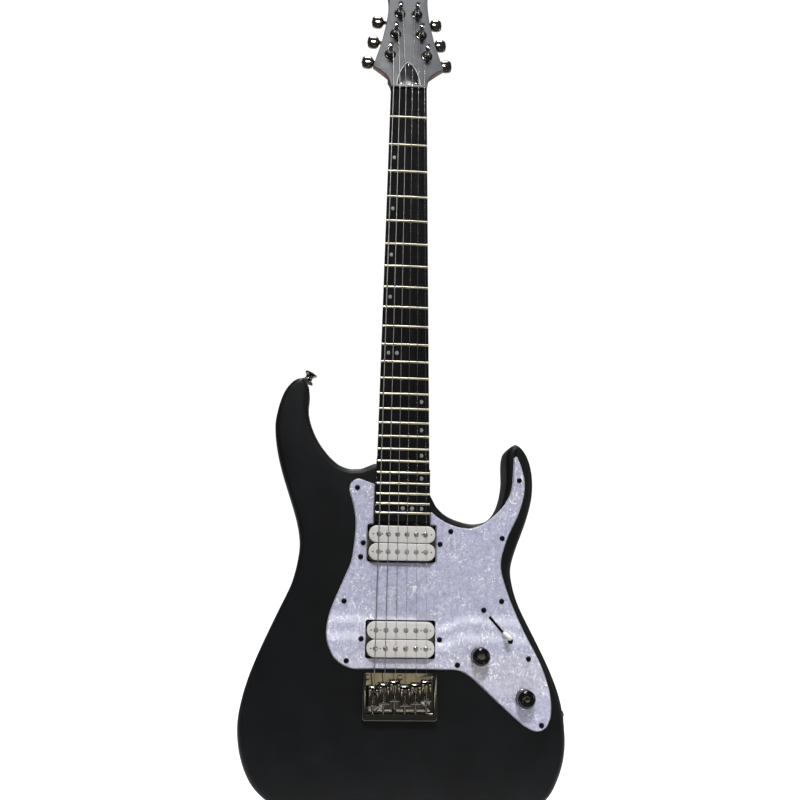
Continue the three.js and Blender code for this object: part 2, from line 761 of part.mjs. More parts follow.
function makeString(number) {
  const radius = stringDiameters[number] / 2;
  const point = (s) => [stringAcross(number, s), stringDepth(number, s), down(s)];
  const leave = saddleFront(number) + 1.2 + saddleTravel + 1.5;
  const holeX = stringAcross(number, stringHoles);
  const end = stringEnd(number);
  const nutPoint = point(0);
  return wire([
    end,
    [nutPoint[0] + (end[0] - nutPoint[0]) * 0.08, nutPoint[1] - 0.05, nutThickness],
    nutPoint,
    point(scaleLength / 2),
    point(leave - 0.6),
    [holeX, point(leave)[1] + 0.3, down(leave + 0.2)],
    [holeX, point(leave)[1] + 1.2, down(leave + 0.7)],
    [holeX, bodyFace - bridgeBase - 1.6, down(stringHoles - 0.25)],
    [holeX, bodyFace + 1, down(stringHoles)],
    [holeX, bodyBack - 5, down(stringHoles)],
  ], radius);
}

// ---- Guard, pickups and controls ----

function pickupOpening(middle) {
  const width = pickupLength + 2 * pickupRecessMargin;
  const height = pickupSpan + 2 * pickupRecessMargin;
  return plate(roundedRectangle(width, height, 2, 0, middle), guardFace - 1, guardBack + 1, 0, 2);
}

function switchSlot() {
  const length = 2 * (switchPivotDepth * Math.tan(THREE.MathUtils.degToRad(switchSwing)) + 2.4);
  const width = leverThickness + 1.4;
  const geometry = new THREE.BoxGeometry(length, guardThickness + 2, width);
  geometry.rotateY(THREE.MathUtils.degToRad(-switchTurn));
  geometry.translate(switchPlace[0], guardFace + guardThickness / 2, down(switchPlace[1]));
  return solid(geometry);
}

function makeGuard() {
  const neckSide = (s) => neckWidth(s) / 2 + 1;
  const bassStart = boardEnd - 39.3;
  const trebleStart = boardEnd - 13;
  const notchEnd = pickups.neck;
  const guardBottom = bridgeTop - 3.6;
  const shape = new THREE.Shape();
  const follow = (points) => roundedPath(points.map(bodyPlace), 1).forEach((p) => shape.lineTo(p.x, p.y));
  shape.moveTo(-neckSide(bassStart), down(bassStart));
  follow(guardLeft);
  shape.lineTo(-40 * stretchAcross, down(guardBottom));
  shape.lineTo(48 * stretchAcross, down(guardBottom));
  follow(guardRight);
  follow(guardHorn);
  shape.lineTo(neckSide(trebleStart), down(trebleStart));
  shape.lineTo(neckSide(notchEnd), down(notchEnd));
  shape.lineTo(-neckSide(notchEnd), down(notchEnd));
  shape.closePath();
  const bushings = [volumePlace, tonePlace].map(([x, s]) =>
    rod([x, guardFace - 1, down(s)], [0, 1, 0], guardThickness + 2, 4.75 + gap, 12));
  return cut(
    plate(shape, guardFace, guardBack), pickupOpening(pickups.neck), pickupOpening(pickups.bridge),
    switchSlot(), ...bushings,
  );
}

function bobbinShape(distance, shrink = 0) {
  return stadium(pickupLength - 2 * shrink, bobbinWidth - 2 * shrink, distance);
}

// A bobbin with its wound coil between two cheeks. The foot stands on the baseplate.
function makeBobbin(middle) {
  const top = plate(bobbinShape(middle), pickupTop, pickupTop + 2.4, 0.6, 5);
  const coil = plate(bobbinShape(middle, 1.2), pickupTop + 2, pickupTop + bobbinHeight - 1, 0, 5);
  const foot = plate(bobbinShape(middle), pickupTop + bobbinHeight - 1.6, pickupTop + bobbinHeight, 0, 5);
  return join(top, coil, foot);
}

function makeMagnet(middle) {
  const front = pickupTop + bobbinHeight + gap;
  return box([-30, front, down(middle + 6)], [30, front + 3.2, down(middle - 6)]);
}

// The baseplate, with an ear at each end for a height screw under the guard.
function makeBaseplate(middle) {
  const front = pickupTop + bobbinHeight + 3.2 + 2 * gap;
  const half = pickupLength / 2 - 0.4;
  const base = plate(
    roundedRectangle(pickupLength - 0.8, pickupSpan - 0.8, 2, 0, middle), front, front + 1.2, 0, 2,
  );
  const ears = [-1, 1].map((side) => box(
    [Math.min(side * (half - 2), side * (pickupScrewSpread / 2 + 2.6)), front + 0.1, down(middle + 5)],
    [Math.max(side * (half - 2), side * (pickupScrewSpread / 2 + 2.6)), front + 1.1, down(middle - 5)],
  ));
  const rails = [-1, 1].map((side) => box(
    [-28, pickupTop + bobbinHeight + gap, down(middle + side * 11.4 + 3)],
    [28, front + 0.5, down(middle + side * 11.4 - 3)],
  ));
  return join(base, ...ears, ...rails);
}

function addPickup(name, middle, screwsUp) {
  const offset = (bobbinWidth + bobbinGap) / 2;
  const upper = screwsUp ? 'screw' : 'slug';
  const lower = screwsUp ? 'slug' : 'screw';
  add(`${name}_pickup_${upper}_bobbin`, makeBobbin(middle - offset), 0xd2cfcb, 0.4, 0);
  add(`${name}_pickup_${lower}_bobbin`, makeBobbin(middle + offset), 0xd2cfcb, 0.4, 0);
  add(`${name}_pickup_magnet`, makeMagnet(middle), 0x3c3a38, 0.6, 0.6);
  add(`${name}_pickup_baseplate`, makeBaseplate(middle), 0xa8a49a, 0.4, 0.8);
}

function makePot([x, s]) {
  const can = rod([x, guardBack + gap, down(s)], [0, 1, 0], potDepth, potRadius, 16);
  const bushing = rod([x, guardFace - 3, down(s)], [0, 1, 0], guardThickness + 4, 4.75, 12);
  const nut = rod([x, guardFace - gap - 2, down(s)], [0, 1, 0], 2, 6.4, 6);
  const boreLength = 9 + guardThickness + gap + potDepth - 1;
  const bore = rod([x, guardFace - 9, down(s)], [0, 1, 0], boreLength, shaftRadius + gap, 10);
  return cut(join(can, bushing, nut), bore);
}

function makeShaft([x, s]) {
  const stand = knobHeight + knobLift - knobCrown - gap;
  const length = stand + guardThickness + gap + potDepth - 1.6;
  return rod([x, guardFace - stand, down(s)], [0, 1, 0], length, shaftRadius, 10);
}

// A domed knob, hollow under its skirt for the nut, bored to sit on the shaft.
function makeKnob([x, s]) {
  const profile = [
    [0, 0], [knobRadius - 4, 0.3], [knobRadius - 1.7, 1.6], [knobRadius - 0.8, 3.6],
    [knobRadius, knobHeight - 1], [knobRadius, knobHeight], [7.2, knobHeight], [7.2, knobHeight - 4],
    [shaftRadius + gap, knobHeight - 4], [shaftRadius + gap, knobCrown], [0, knobCrown],
  ];
  return turned(profile, [x, guardFace - knobHeight - knobLift, down(s)], [0, 1, 0], 16);
}

// The switch's own space: X along the slot, -Y out of the guard, origin on the pivot.
const blade = new THREE.Group();
blade.position.set(switchPlace[0], guardFace + switchPivotDepth, down(switchPlace[1]));
blade.rotation.y = THREE.MathUtils.degToRad(-switchTurn);
guitar.add(blade);

function makeSwitchFrame() {
  const front = guardThickness + gap - switchPivotDepth;
  const flange = box([-frameReach, front, -frameWidth], [frameReach, front + 1.2, frameWidth]);
  const slot = box([-14, front - 1, -leverWidth / 2 - 0.4], [14, front + 3, leverWidth / 2 + 0.4]);
  const cheek = (side) => box(
    [-12, front + 0.5, Math.min(side * 3.2, side * 4.4)], [12, 5, Math.max(side * 3.2, side * 4.4)],
  );
  const wafer = box([-16, -9, 4], [16, 8, frameWidth]);
  return join(cut(flange, slot), cheek(-1), cheek(1), wafer);
}

function leverTurn(piece) {
  return piece.rotate([0, 0, switchSwing]);
}

function makeLever() {
  const thin = leverThickness / 2;
  const arm = box([-leverThickness, -leverReach, -thin], [leverThickness, 0, thin]);
  const hub = rod([0, 0, -3.2 + gap], [0, 0, 1], 6.4 - 2 * gap, 3.6, 12);
  return leverTurn(join(arm, hub));
}

// The white tip pushed on the lever's end.
function makeTip() {
  const start = switchPivotDepth + 5;
  const sections = [
    [start, 2.6, 2.2], [start + 2, 3.4, 2.7], [tipReach - 4, 3, 2.4],
    [tipReach - 0.8, 2, 1.7], [tipReach, 1, 0.9],
  ];
  const rings = sections.map(([reach, wide, thick]) => Array.from({ length: 12 }, (_, j) => {
    const angle = (2 * Math.PI * j) / 12;
    return [wide * Math.cos(angle), -reach, thick * Math.sin(angle)];
  }));
  const hole = box(
    [-leverThickness - 0.1, -leverReach - 0.3, -leverThickness / 2 - 0.1],
    [leverThickness + 0.1, -start + 2, leverThickness / 2 + 0.1],
  );
  return leverTurn(cut(loft(rings), hole));
}

// ---- Bridge ----

function makeBridgePlate() {
  const back = bodyFace - gap;
  const front = back - bridgeBase;
  const top = back - bridgeHeight;
  const outer = plate(roundedRectangle(bridgeWidth, bridgeLength, 2.5, 0, bridgeMiddle), top, back, 0.6, 2);
  const innerHalf = bridgeWidth / 2 - bridgeWall;
  const rear = down(bridgeTop + bridgeLength - bridgeRearWall);
  const room = box([-innerHalf, top - 1, rear], [innerHalf, front, down(bridgeTop - 1)]);
  const holes = stringDiameters.map((_, i) => {
    const start = [stringAcross(i, stringHoles), front - 1, down(stringHoles)];
    return rod(start, [0, 1, 0], bridgeBase + 2, stringHoleRadius, 8);
  });
  return cut(outer, room, ...holes);
}

// A saddle: a block with a crest in front, a slot for the string and two height screws.
function makeSaddle(number) {
  const start = saddleFront(number);
  const x = stringAcross(number, start);
  const crest = stringDepth(number, start) + stringDiameters[number] / 2 + gap / 2;
  const half = saddleWidth / 2;
  const plateFace = bodyFace - gap - bridgeBase;
  const block = box(
    [x - half, crest, down(start + saddleLength)],
    [x + half, crest + saddleHeight, down(start)],
  );
  const slotHalf = 2.1;
  const slot = box(
    [x - slotHalf, crest - 1, down(start + saddleLength - 2)],
    [x + slotHalf, crest + saddleHeight + 1, down(start + 2.4)],
  );
  const slope = loft([-half - 1, half + 1].map((side) => [
    [x + side, crest - 1, down(start + 4)], [x + side, crest - 1, down(start + saddleLength + 1)],
    [x + side, crest + 2, down(start + saddleLength + 1)], [x + side, crest, down(start + 4)],
  ]));
  const legs = [-1, 1].map((side) =>
    rod([x + side * 3.5, crest + 1, down(start + 3)], [0, 1, 0], plateFace - gap - crest - 1, 1.2, 8));
  return join(cut(block, slot, slope), ...legs);
}

// ---- Neck plate, strap buttons, jack ----

function makeNeckPlate() {
  const [width, thick, height] = plateSize;
  const outline = roundedRectangle(width, height, 4, 0, platePlace);
  return plate(outline, bodyBack + gap, bodyBack + gap + thick, 0.5, 3);
}

function makeStrapButton(from, direction) {
  const r = strapButtonRadius;
  const l = strapButtonLength;
  const profile = [
    [0, 0], [r - 0.6, 0], [r - 0.6, 1], [r - 3, 3], [r - 3, l - 4.5], [r - 0.4, l - 2.4],
    [r, l - 1.6], [r - 0.4, l], [0, l],
  ];
  return turned(profile, from, direction, 12);
}

function makeJackPlate() {
  const [thick, across, along] = jackPlateSize;
  const x = jackPlace[0];
  const y = bodyFace + bodyThickness / 2;
  const z = down(jackPlace[1]);
  const blank = box([x - thick, y - across / 2, z - along / 2], [x, y + across / 2, z + along / 2]);
  return cut(blank, rod([x - 5, y, z], [1, 0, 0], 10, jackSleeveRadius + gap, 12));
}

// The jack's sleeve, open to the outside for a plug, with its nut outside the plate.
function makeJack() {
  const x = jackPlace[0];
  const y = bodyFace + bodyThickness / 2;
  const z = down(jackPlace[1]);
  const sleeve = rod([x + 2.6 - jackLength, y, z], [1, 0, 0], jackLength, jackSleeveRadius, 12);
  const shoulder = rod([x - jackPlateSize[0] - gap - 3, y, z], [1, 0, 0], 3, jackSleeveRadius + 2.6, 12);
  const nut = rod([x + gap, y, z], [1, 0, 0], 2, jackSleeveRadius + 2, 6);
  const bore = rod([x - jackLength - 5, y, z], [1, 0, 0], jackLength + 20, jackBoreRadius, 12);
  return cut(join(sleeve, shoulder, nut), bore);
}

// ---- The guitar ----

const middleDepth = bodyFace + bodyThickness / 2;
const [hornX, hornS] = hornButtonPlace;
const hornFrom = [hornX + hornAxis[0] * gap, middleDepth, down(hornS) + hornAxis[2] * gap - gap];

add('body', makeBody(), 0x24282c, 0.55, 0);
add('neck', makeNeck(), 0xc9a36b, 0.5, 0);
add('fretboard', makeBoard(), 0x2a2523, 0.6, 0);
add('nut', makeNut(), 0x17171a, 0.4, 0);
add('truss_rod', makeTrussRod(), 0x77777a, 0.5, 0.9);
add('truss_rod_cover', makeTrussCover(), 0x1b1b1f, 0.3, 0, headstock);
add('neck_plate', makeNeckPlate(), 0x2f2f33, 0.25, 0.9);
add('pickguard', makeGuard(), 0xd9dae6, 0.3, 0);
add('jack_plate', makeJackPlate(), 0x2f2f33, 0.25, 0.9);
add('jack_socket', makeJack(), 0x8d8d90, 0.3, 0.9);
add('strap_button_upper', makeStrapButton(hornFrom, hornAxis), 0x2f2f33, 0.25, 0.9);
add(
  'strap_button_lower',
  makeStrapButton([tailPlace[0], middleDepth, down(tailPlace[1]) + 1.2], [0, 0, -1]), 0x2f2f33, 0.25, 0.9,
);
addPickup('neck', pickups.neck, true);
addPickup('bridge', pickups.bridge, false);
add('volume_pot', makePot(volumePlace), 0x9a978c, 0.4, 0.8);
add('volume_shaft', makeShaft(volumePlace), 0xb9b6ab, 0.35, 0.9);
add('volume_knob', makeKnob(volumePlace), 0x3b3a3c, 0.15, 0.95);
add('tone_pot', makePot(tonePlace), 0x9a978c, 0.4, 0.8);
add('tone_shaft', makeShaft(tonePlace), 0xb9b6ab, 0.35, 0.9);
add('tone_knob', makeKnob(tonePlace), 0x3b3a3c, 0.15, 0.95);
add('switch_frame', makeSwitchFrame(), 0x8d8d90, 0.4, 0.8, blade);
add('switch_lever', makeLever(), 0x8d8d90, 0.3, 0.9, blade);
add('switch_tip', makeTip(), 0xf0efea, 0.4, 0, blade);
add('bridge_plate', makeBridgePlate(), 0x35332f, 0.2, 0.95);
stringDiameters.forEach((_, i) => {
  add(`saddle_${6 - i}`, makeSaddle(i), 0x3a3836, 0.2, 0.95);
  add(`string_${6 - i}`, makeString(i), 0xb8b6b0, 0.3, 0.9);
});
addTuners();

export default guitar;
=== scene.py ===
"""Electric guitar: satin black body, bolt-on neck, pearl guard, two open humbuckers, hardtail bridge.

Lengths in this file are millimetres until a form becomes a piece, which is in metres.
X runs to the treble side, the front faces -Y and Z runs up the neck.
"""

import json
import math

import bmesh
import bpy
from mathutils import Matrix, Vector


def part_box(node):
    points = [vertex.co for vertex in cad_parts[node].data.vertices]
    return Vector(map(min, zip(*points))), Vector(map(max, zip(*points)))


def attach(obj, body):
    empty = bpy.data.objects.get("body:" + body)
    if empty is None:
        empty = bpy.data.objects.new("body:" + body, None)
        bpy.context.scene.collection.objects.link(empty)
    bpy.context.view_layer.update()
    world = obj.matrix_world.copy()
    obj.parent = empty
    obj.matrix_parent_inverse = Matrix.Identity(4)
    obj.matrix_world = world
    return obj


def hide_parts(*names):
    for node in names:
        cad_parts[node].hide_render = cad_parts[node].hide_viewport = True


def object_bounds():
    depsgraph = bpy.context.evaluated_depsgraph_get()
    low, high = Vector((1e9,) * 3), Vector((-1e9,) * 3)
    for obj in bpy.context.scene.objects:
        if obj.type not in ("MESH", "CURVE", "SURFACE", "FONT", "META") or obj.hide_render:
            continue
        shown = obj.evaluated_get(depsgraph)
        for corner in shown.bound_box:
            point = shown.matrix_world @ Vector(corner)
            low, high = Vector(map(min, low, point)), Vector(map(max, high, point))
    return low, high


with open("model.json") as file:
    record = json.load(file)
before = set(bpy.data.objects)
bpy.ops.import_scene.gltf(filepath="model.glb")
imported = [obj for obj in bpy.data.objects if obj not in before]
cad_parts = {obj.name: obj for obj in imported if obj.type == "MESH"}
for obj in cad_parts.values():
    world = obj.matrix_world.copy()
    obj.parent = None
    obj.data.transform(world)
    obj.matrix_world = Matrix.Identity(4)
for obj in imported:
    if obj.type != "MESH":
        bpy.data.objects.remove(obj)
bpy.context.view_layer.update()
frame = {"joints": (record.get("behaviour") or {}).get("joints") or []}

MM = 0.001
GAP = 0.3
TURN = 2 * math.pi
ORIGIN = (0, 0, 0)


# ---- Places taken from the frame ----


def extent(node):
    """Lowest and highest corner of a CAD node in millimetres."""
    low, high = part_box(node)
    return low / MM, high / MM


def middle(node):
    low, high = extent(node)
    return (low + high) / 2


joints = {joint["name"]: joint for joint in frame["joints"]}


def joint_place(name):
    return Vector(joints[name]["pos_m"]) / MM


def cad_loops(node, depth):
    """Closed loops of [x, z] places where a node's edges lie at one depth, longest first."""
    tolerance = 0.02
    mesh = bmesh.new()
    mesh.from_mesh(bpy.data.objects[node].data)
    bmesh.ops.remove_doubles(mesh, verts=mesh.verts, dist=1e-6)

    def level(vertex):
        return abs(vertex.co.y / MM - depth) < tolerance

    rim = {}
    for edge in mesh.edges:
        a, b = edge.verts
        if not (level(a) and level(b)):
            continue
        flat = [all(level(v) for v in face.verts) for face in edge.link_faces]
        upper = [any(v.co.y / MM > depth + tolerance for v in face.verts) for face in edge.link_faces]
        if sum(flat) == 1 or (not any(flat) and sum(upper) == 1):
            rim.setdefault(a.index, []).append(b.index)
            rim.setdefault(b.index, []).append(a.index)
    mesh.verts.ensure_lookup_table()
    loops = []
    while rim:
        start = next(iter(rim))
        loop, here, before = [], start, None
        while here in rim:
            ways = rim.pop(here)
            loop.append(here)
            onward = [way for way in ways if way != before and way in rim]
            before = here
            if not onward:
                break
            here = onward[0]
        if len(loop) > 3:
            loops.append([(mesh.verts[i].co.x / MM, mesh.verts[i].co.z / MM) for i in loop])
    mesh.free()

    def around(loop):
        return sum(math.dist(p, q) for p, q in zip(loop, loop[1:] + loop[:1]))

    return sorted(loops, key=around, reverse=True)


# ---- Outlines in [x, z] ----


def area(loop):
    return sum(p[0] * q[1] - q[0] * p[1] for p, q in zip(loop, loop[1:] + loop[:1])) / 2


def bend(a, b, c):
    """Turn in degrees from the way into b to the way out of it."""
    return math.degrees((Vector(b) - Vector(a)).angle(Vector(c) - Vector(b), 0.0))


def spaced(loop, least=0.05):
    points = []
    for p in loop:
        if not points or math.dist(p, points[-1]) > least:
            points.append(p)
    return points[:-1] if math.dist(points[0], points[-1]) < least else points


def fair(loop, cuts=3, corner=24.0):
    """A loop with its gentle bends filled in by a spline, its corners and long straights kept."""
    points = [Vector(p) for p in spaced(loop)]
    count = len(points)
    leans = []
    for i in range(count):
        a, b, c = points[i - 1], points[i], points[(i + 1) % count]
        if bend(a, b, c) > corner:
            leans.append(((b - a).normalized(), (c - b).normalized()))
        else:
            lean = ((b - a) * (b - a).length + (c - b) * (c - b).length).normalized()
            leans.append((lean, lean))
    result = []
    for i in range(count):
        j = (i + 1) % count
        b, c = points[i], points[j]
        reach = (c - b).length
        lean_out, lean_in = leans[i][1] * reach, leans[j][0] * reach
        for k in range(cuts):
            t = k / cuts
            h1, h2 = 2 * t**3 - 3 * t**2 + 1, t**3 - 2 * t**2 + t
            h3, h4 = -2 * t**3 + 3 * t**2, t**3 - t**2
            result.append(tuple(b * h1 + lean_out * h2 + c * h3 + lean_in * h4))
    return result


def softened(loop, radius):
    """A loop with each sharp corner rounded, and each blunt one by a wide arc."""
    gentle, sharp, wide, steps = 24.0, 45, 16.0, 5
    points = [Vector(p) for p in spaced(loop)]
    result = []
    for i, b in enumerate(points):
        a, c = points[i - 1], points[(i + 1) % len(points)]
        turn = bend(a, b, c)
        if turn < gentle:
            result.append(tuple(b))
            continue
        arc = radius if turn > sharp else wide
        reach = min(arc * math.tan(math.radians(turn) / 2), 0.46 * (b - a).length, 0.46 * (c - b).length)
        start, end = b + (a - b).normalized() * reach, b + (c - b).normalized() * reach
        for k in range(steps + 1):
            t = k / steps
            result.append(tuple(start * (1 - t) ** 2 + b * (2 * t * (1 - t)) + end * t * t))
    return result


def inset(loop, distance):
    """The loop moved inwards by a distance, with its corners mitred."""
    if area(loop) < 0:
        loop = loop[::-1]
    count = len(loop)
    moved = []
    for i in range(count):
        a, b, c = (Vector(loop[(i + k) % count]) for k in (-1, 0, 1))
        first, second = (b - a).normalized(), (c - b).normalized()
        normal = Vector((-(first.y + second.y), first.x + second.x))
        if normal.length < 1e-9:
            normal = Vector((-first.y, first.x))
        normal.normalize()
        cosine = max(normal.dot(Vector((-first.y, first.x))), 0.7)
        moved.append(tuple(b + normal * (distance / cosine)))
    return moved


def rounded_rectangle(width, height, radius, x=0.0, z=0.0, steps=6):
    points = []
    for turn, (sx, sz) in enumerate(((1, 1), (-1, 1), (-1, -1), (1, -1))):
        for k in range(steps + 1):
            angle = (turn + k / steps) * math.pi / 2
            points.append(
                (
                    x + sx * (width / 2 - radius) + radius * math.cos(angle),
                    z + sz * (height / 2 - radius) + radius * math.sin(angle),
                )
            )
    return points


def circle(radius, x=0.0, z=0.0, sides=24):
    return [
        (x + radius * math.cos(TURN * k / sides), z + radius * math.sin(TURN * k / sides))
        for k in range(sides)
    ]


def hull(points):
    """The convex outline round a set of places."""
    points = sorted(set((round(x, 5), round(z, 5)) for x, z in points))

    def half(ordered):
        chain = []
        for p in ordered:
            while len(chain) > 1 and (
                (chain[-1][0] - chain[-2][0]) * (p[1] - chain[-2][1])
                - (chain[-1][1] - chain[-2][1]) * (p[0] - chain[-2][0])
            ) <= 0:
                chain.pop()
            chain.append(p)
        return chain[:-1]

    return half(points) + half(points[::-1])


# ---- Forms: places and faces in millimetres ----


class Form:
    """A closed shape, or several, before it becomes a piece."""

    def __init__(self, places=(), faces=()):
        self.places = [Vector(place) for place in places]
        self.faces = [tuple(face) for face in faces]

    def __add__(self, other):
        base = len(self.places)
        both = Form(self.places + other.places)
        both.faces = self.faces + [tuple(i + base for i in face) for face in other.faces]
        return both

    def placed(self, matrix):
        moved = Form([matrix @ place for place in self.places])
        moved.faces = list(self.faces)
        return moved

    def mesh(self, name):
        """The form as a Blender mesh in metres, merged and facing out."""
        data = bpy.data.meshes.new(name)
        data.from_pydata([tuple(place * MM) for place in self.places], [], self.faces)
        work = bmesh.new()
        work.from_mesh(data)
        bmesh.ops.remove_doubles(work, verts=work.verts, dist=1e-7)
        bmesh.ops.dissolve_degenerate(work, edges=work.edges, dist=1e-8)
        bmesh.ops.recalc_face_normals(work, faces=work.faces)
        work.to_mesh(data)
        work.free()
        return data

    def piece(self, name, finish, body="guitar", replaces=(), crease=32.0):
        """The form as a finished piece that rides on a body."""
        data = self.mesh(name)
        data.polygons.foreach_set("use_smooth", [True] * len(data.polygons))
        data.set_sharp_from_angle(angle=math.radians(crease))
        data.materials.append(finish)
        return mount(linked(name, data), body, replaces)


def linked(name, data):
    """A new object in the scene."""
    thing = bpy.data.objects.new(name, data)
    bpy.context.collection.objects.link(thing)
    return thing


def clad(finish, *nodes):
    """CAD nodes whose shape is right, given their finish."""
    for node in nodes:
        bpy.data.objects[node].data.materials[0] = finish


def mount(piece, body="guitar", replaces=()):
    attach(piece, body)
    if replaces:
        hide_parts(*replaces)
    return piece


def gathered(forms):
    total = Form()
    for form in forms:
        total = total + form
    return total


def loft(rings):
    """A skin over rings of places, capped at both ends."""
    count = len(rings[0])
    faces = []
    for a in range(0, (len(rings) - 1) * count, count):
        b = a + count
        for j in range(count):
            k = (j + 1) % count
            faces.append((a + j, a + k, b + k, b + j))
    faces.append(tuple(range(count))[::-1])
    faces.append(tuple((len(rings) - 1) * count + j for j in range(count)))
    return Form([place for ring in rings for place in ring], faces)


def plate(loop, front, back, front_edge=0.0, back_edge=0.0, steps=5):
    """An outline given thickness between two depths, its rims rounded."""
    if area(loop) < 0:
        loop = loop[::-1]
    angles = [k / steps * math.pi / 2 for k in range(steps + 1)]
    levels = []
    for depth, edge, way in ((front, front_edge, 1), (back, back_edge, -1)):
        for angle in angles[::-way] if edge else [0.0]:
            distance, sink = edge * (1 - math.cos(angle)), edge * (1 - math.sin(angle)) * bool(edge)
            levels.append((distance, depth + way * sink))
    rings = []
    for distance, y in levels:
        ring = inset(loop, distance) if distance > 1e-6 else loop
        rings.append([(x, y, z) for x, z in ring])
    return loft(rings)


def frame_on(axis):
    """A turn that takes +Y to an axis."""
    return Vector((0, 1, 0)).rotation_difference(Vector(axis).normalized()).to_matrix().to_4x4()


def turned(profile, start=ORIGIN, axis=(0, 1, 0), sides=32):
    """A profile of [radius, along] turned about an axis from a start."""
    rings = [
        [(r * math.cos(TURN * k / sides), along, r * math.sin(TURN * k / sides)) for k in range(sides)]
        for r, along in profile
        if r > 1e-6
    ]
    form = loft(rings)
    return form.placed(Matrix.Translation(start) @ frame_on(axis))


def rod(radius, length, start, axis=(0, 1, 0), sides=24):
    return turned([(radius, 0.0), (radius, length)], start, axis, sides)


def block(low, high, edge=0.0, steps=2):
    """A box between two corners, its edges rounded."""
    low, high = Vector(low), Vector(high)
    work = bmesh.new()
    bmesh.ops.create_cube(work, size=1.0)
    size, centre = high - low, (low + high) / 2
    for vertex in work.verts:
        vertex.co = Vector(vertex.co[i] * size[i] + centre[i] for i in range(3))
    if edge:
        bmesh.ops.bevel(
            work, geom=work.edges[:], offset=edge, segments=steps, profile=0.5, affect="EDGES"
        )
    return form_of(work)


def form_of(work, scale=1.0):
    work.verts.ensure_lookup_table()
    form = Form([vertex.co * scale for vertex in work.verts])
    form.faces = [tuple(vertex.index for vertex in face.verts) for face in work.faces]
    work.free()
    return form


def worked(form, *tools, operation="DIFFERENCE", edge=0.0):
    """The form with tools cut out of it or joined to it, then its edges eased."""
    base = linked("work", form.mesh("work"))
    spare = []
    for tool in tools:
        other = linked("tool", tool.mesh("tool"))
        step = base.modifiers.new("cut", "BOOLEAN")
        step.operation, step.solver, step.object = operation, "EXACT", other
        spare.append(other)
    if edge:
        ease = base.modifiers.new("ease", "BEVEL")
        ease.width, ease.segments, ease.limit_method = edge * MM, 2, "ANGLE"
        ease.angle_limit = math.radians(38)
    graph = bpy.context.evaluated_depsgraph_get()
    result = bpy.data.meshes.new_from_object(base.evaluated_get(graph))
    for thing in [base, *spare]:
        bpy.data.objects.remove(thing)
    work = bmesh.new()
    work.from_mesh(result)
    bpy.data.meshes.remove(result)
    return form_of(work, 1 / MM)


# ---- Finishes ----


class Value:
    """A number that changes over a surface, written as sums and products."""

    def __init__(self, finish, socket):
        self.finish, self.socket = finish, socket

    def _with(self, operation, *others):
        settings = {"operation": operation}
        return self.finish.node("ShaderNodeMath", settings, dict(enumerate((self, *others))))

    def __add__(self, other):
        return self._with("ADD", other)

    def __radd__(self, other):
        return self._with("ADD", other)

    def __sub__(self, other):
        return self._with("SUBTRACT", other)

    def __rsub__(self, other):
        return self.finish.node("ShaderNodeMath", {"operation": "SUBTRACT"}, {0: other, 1: self})

    def __mul__(self, other):
        return self._with("MULTIPLY", other)

    def __rmul__(self, other):
        return self._with("MULTIPLY", other)

    def __gt__(self, other):
        return self._with("GREATER_THAN", other)

    def sine(self):
        return self._with("SINE")

    def clear(self):
        """Kept between nothing and one."""
        return self.finish.node("ShaderNodeClamp", {}, {"Value": self})

    def between(self, low, high):
        """Nothing at low, one at high, eased."""
        settings = {"interpolation_type": "SMOOTHSTEP"}
        return self.finish.node(
            "ShaderNodeMapRange", settings, {"Value": self, "From Min": low, "From Max": high}
        )


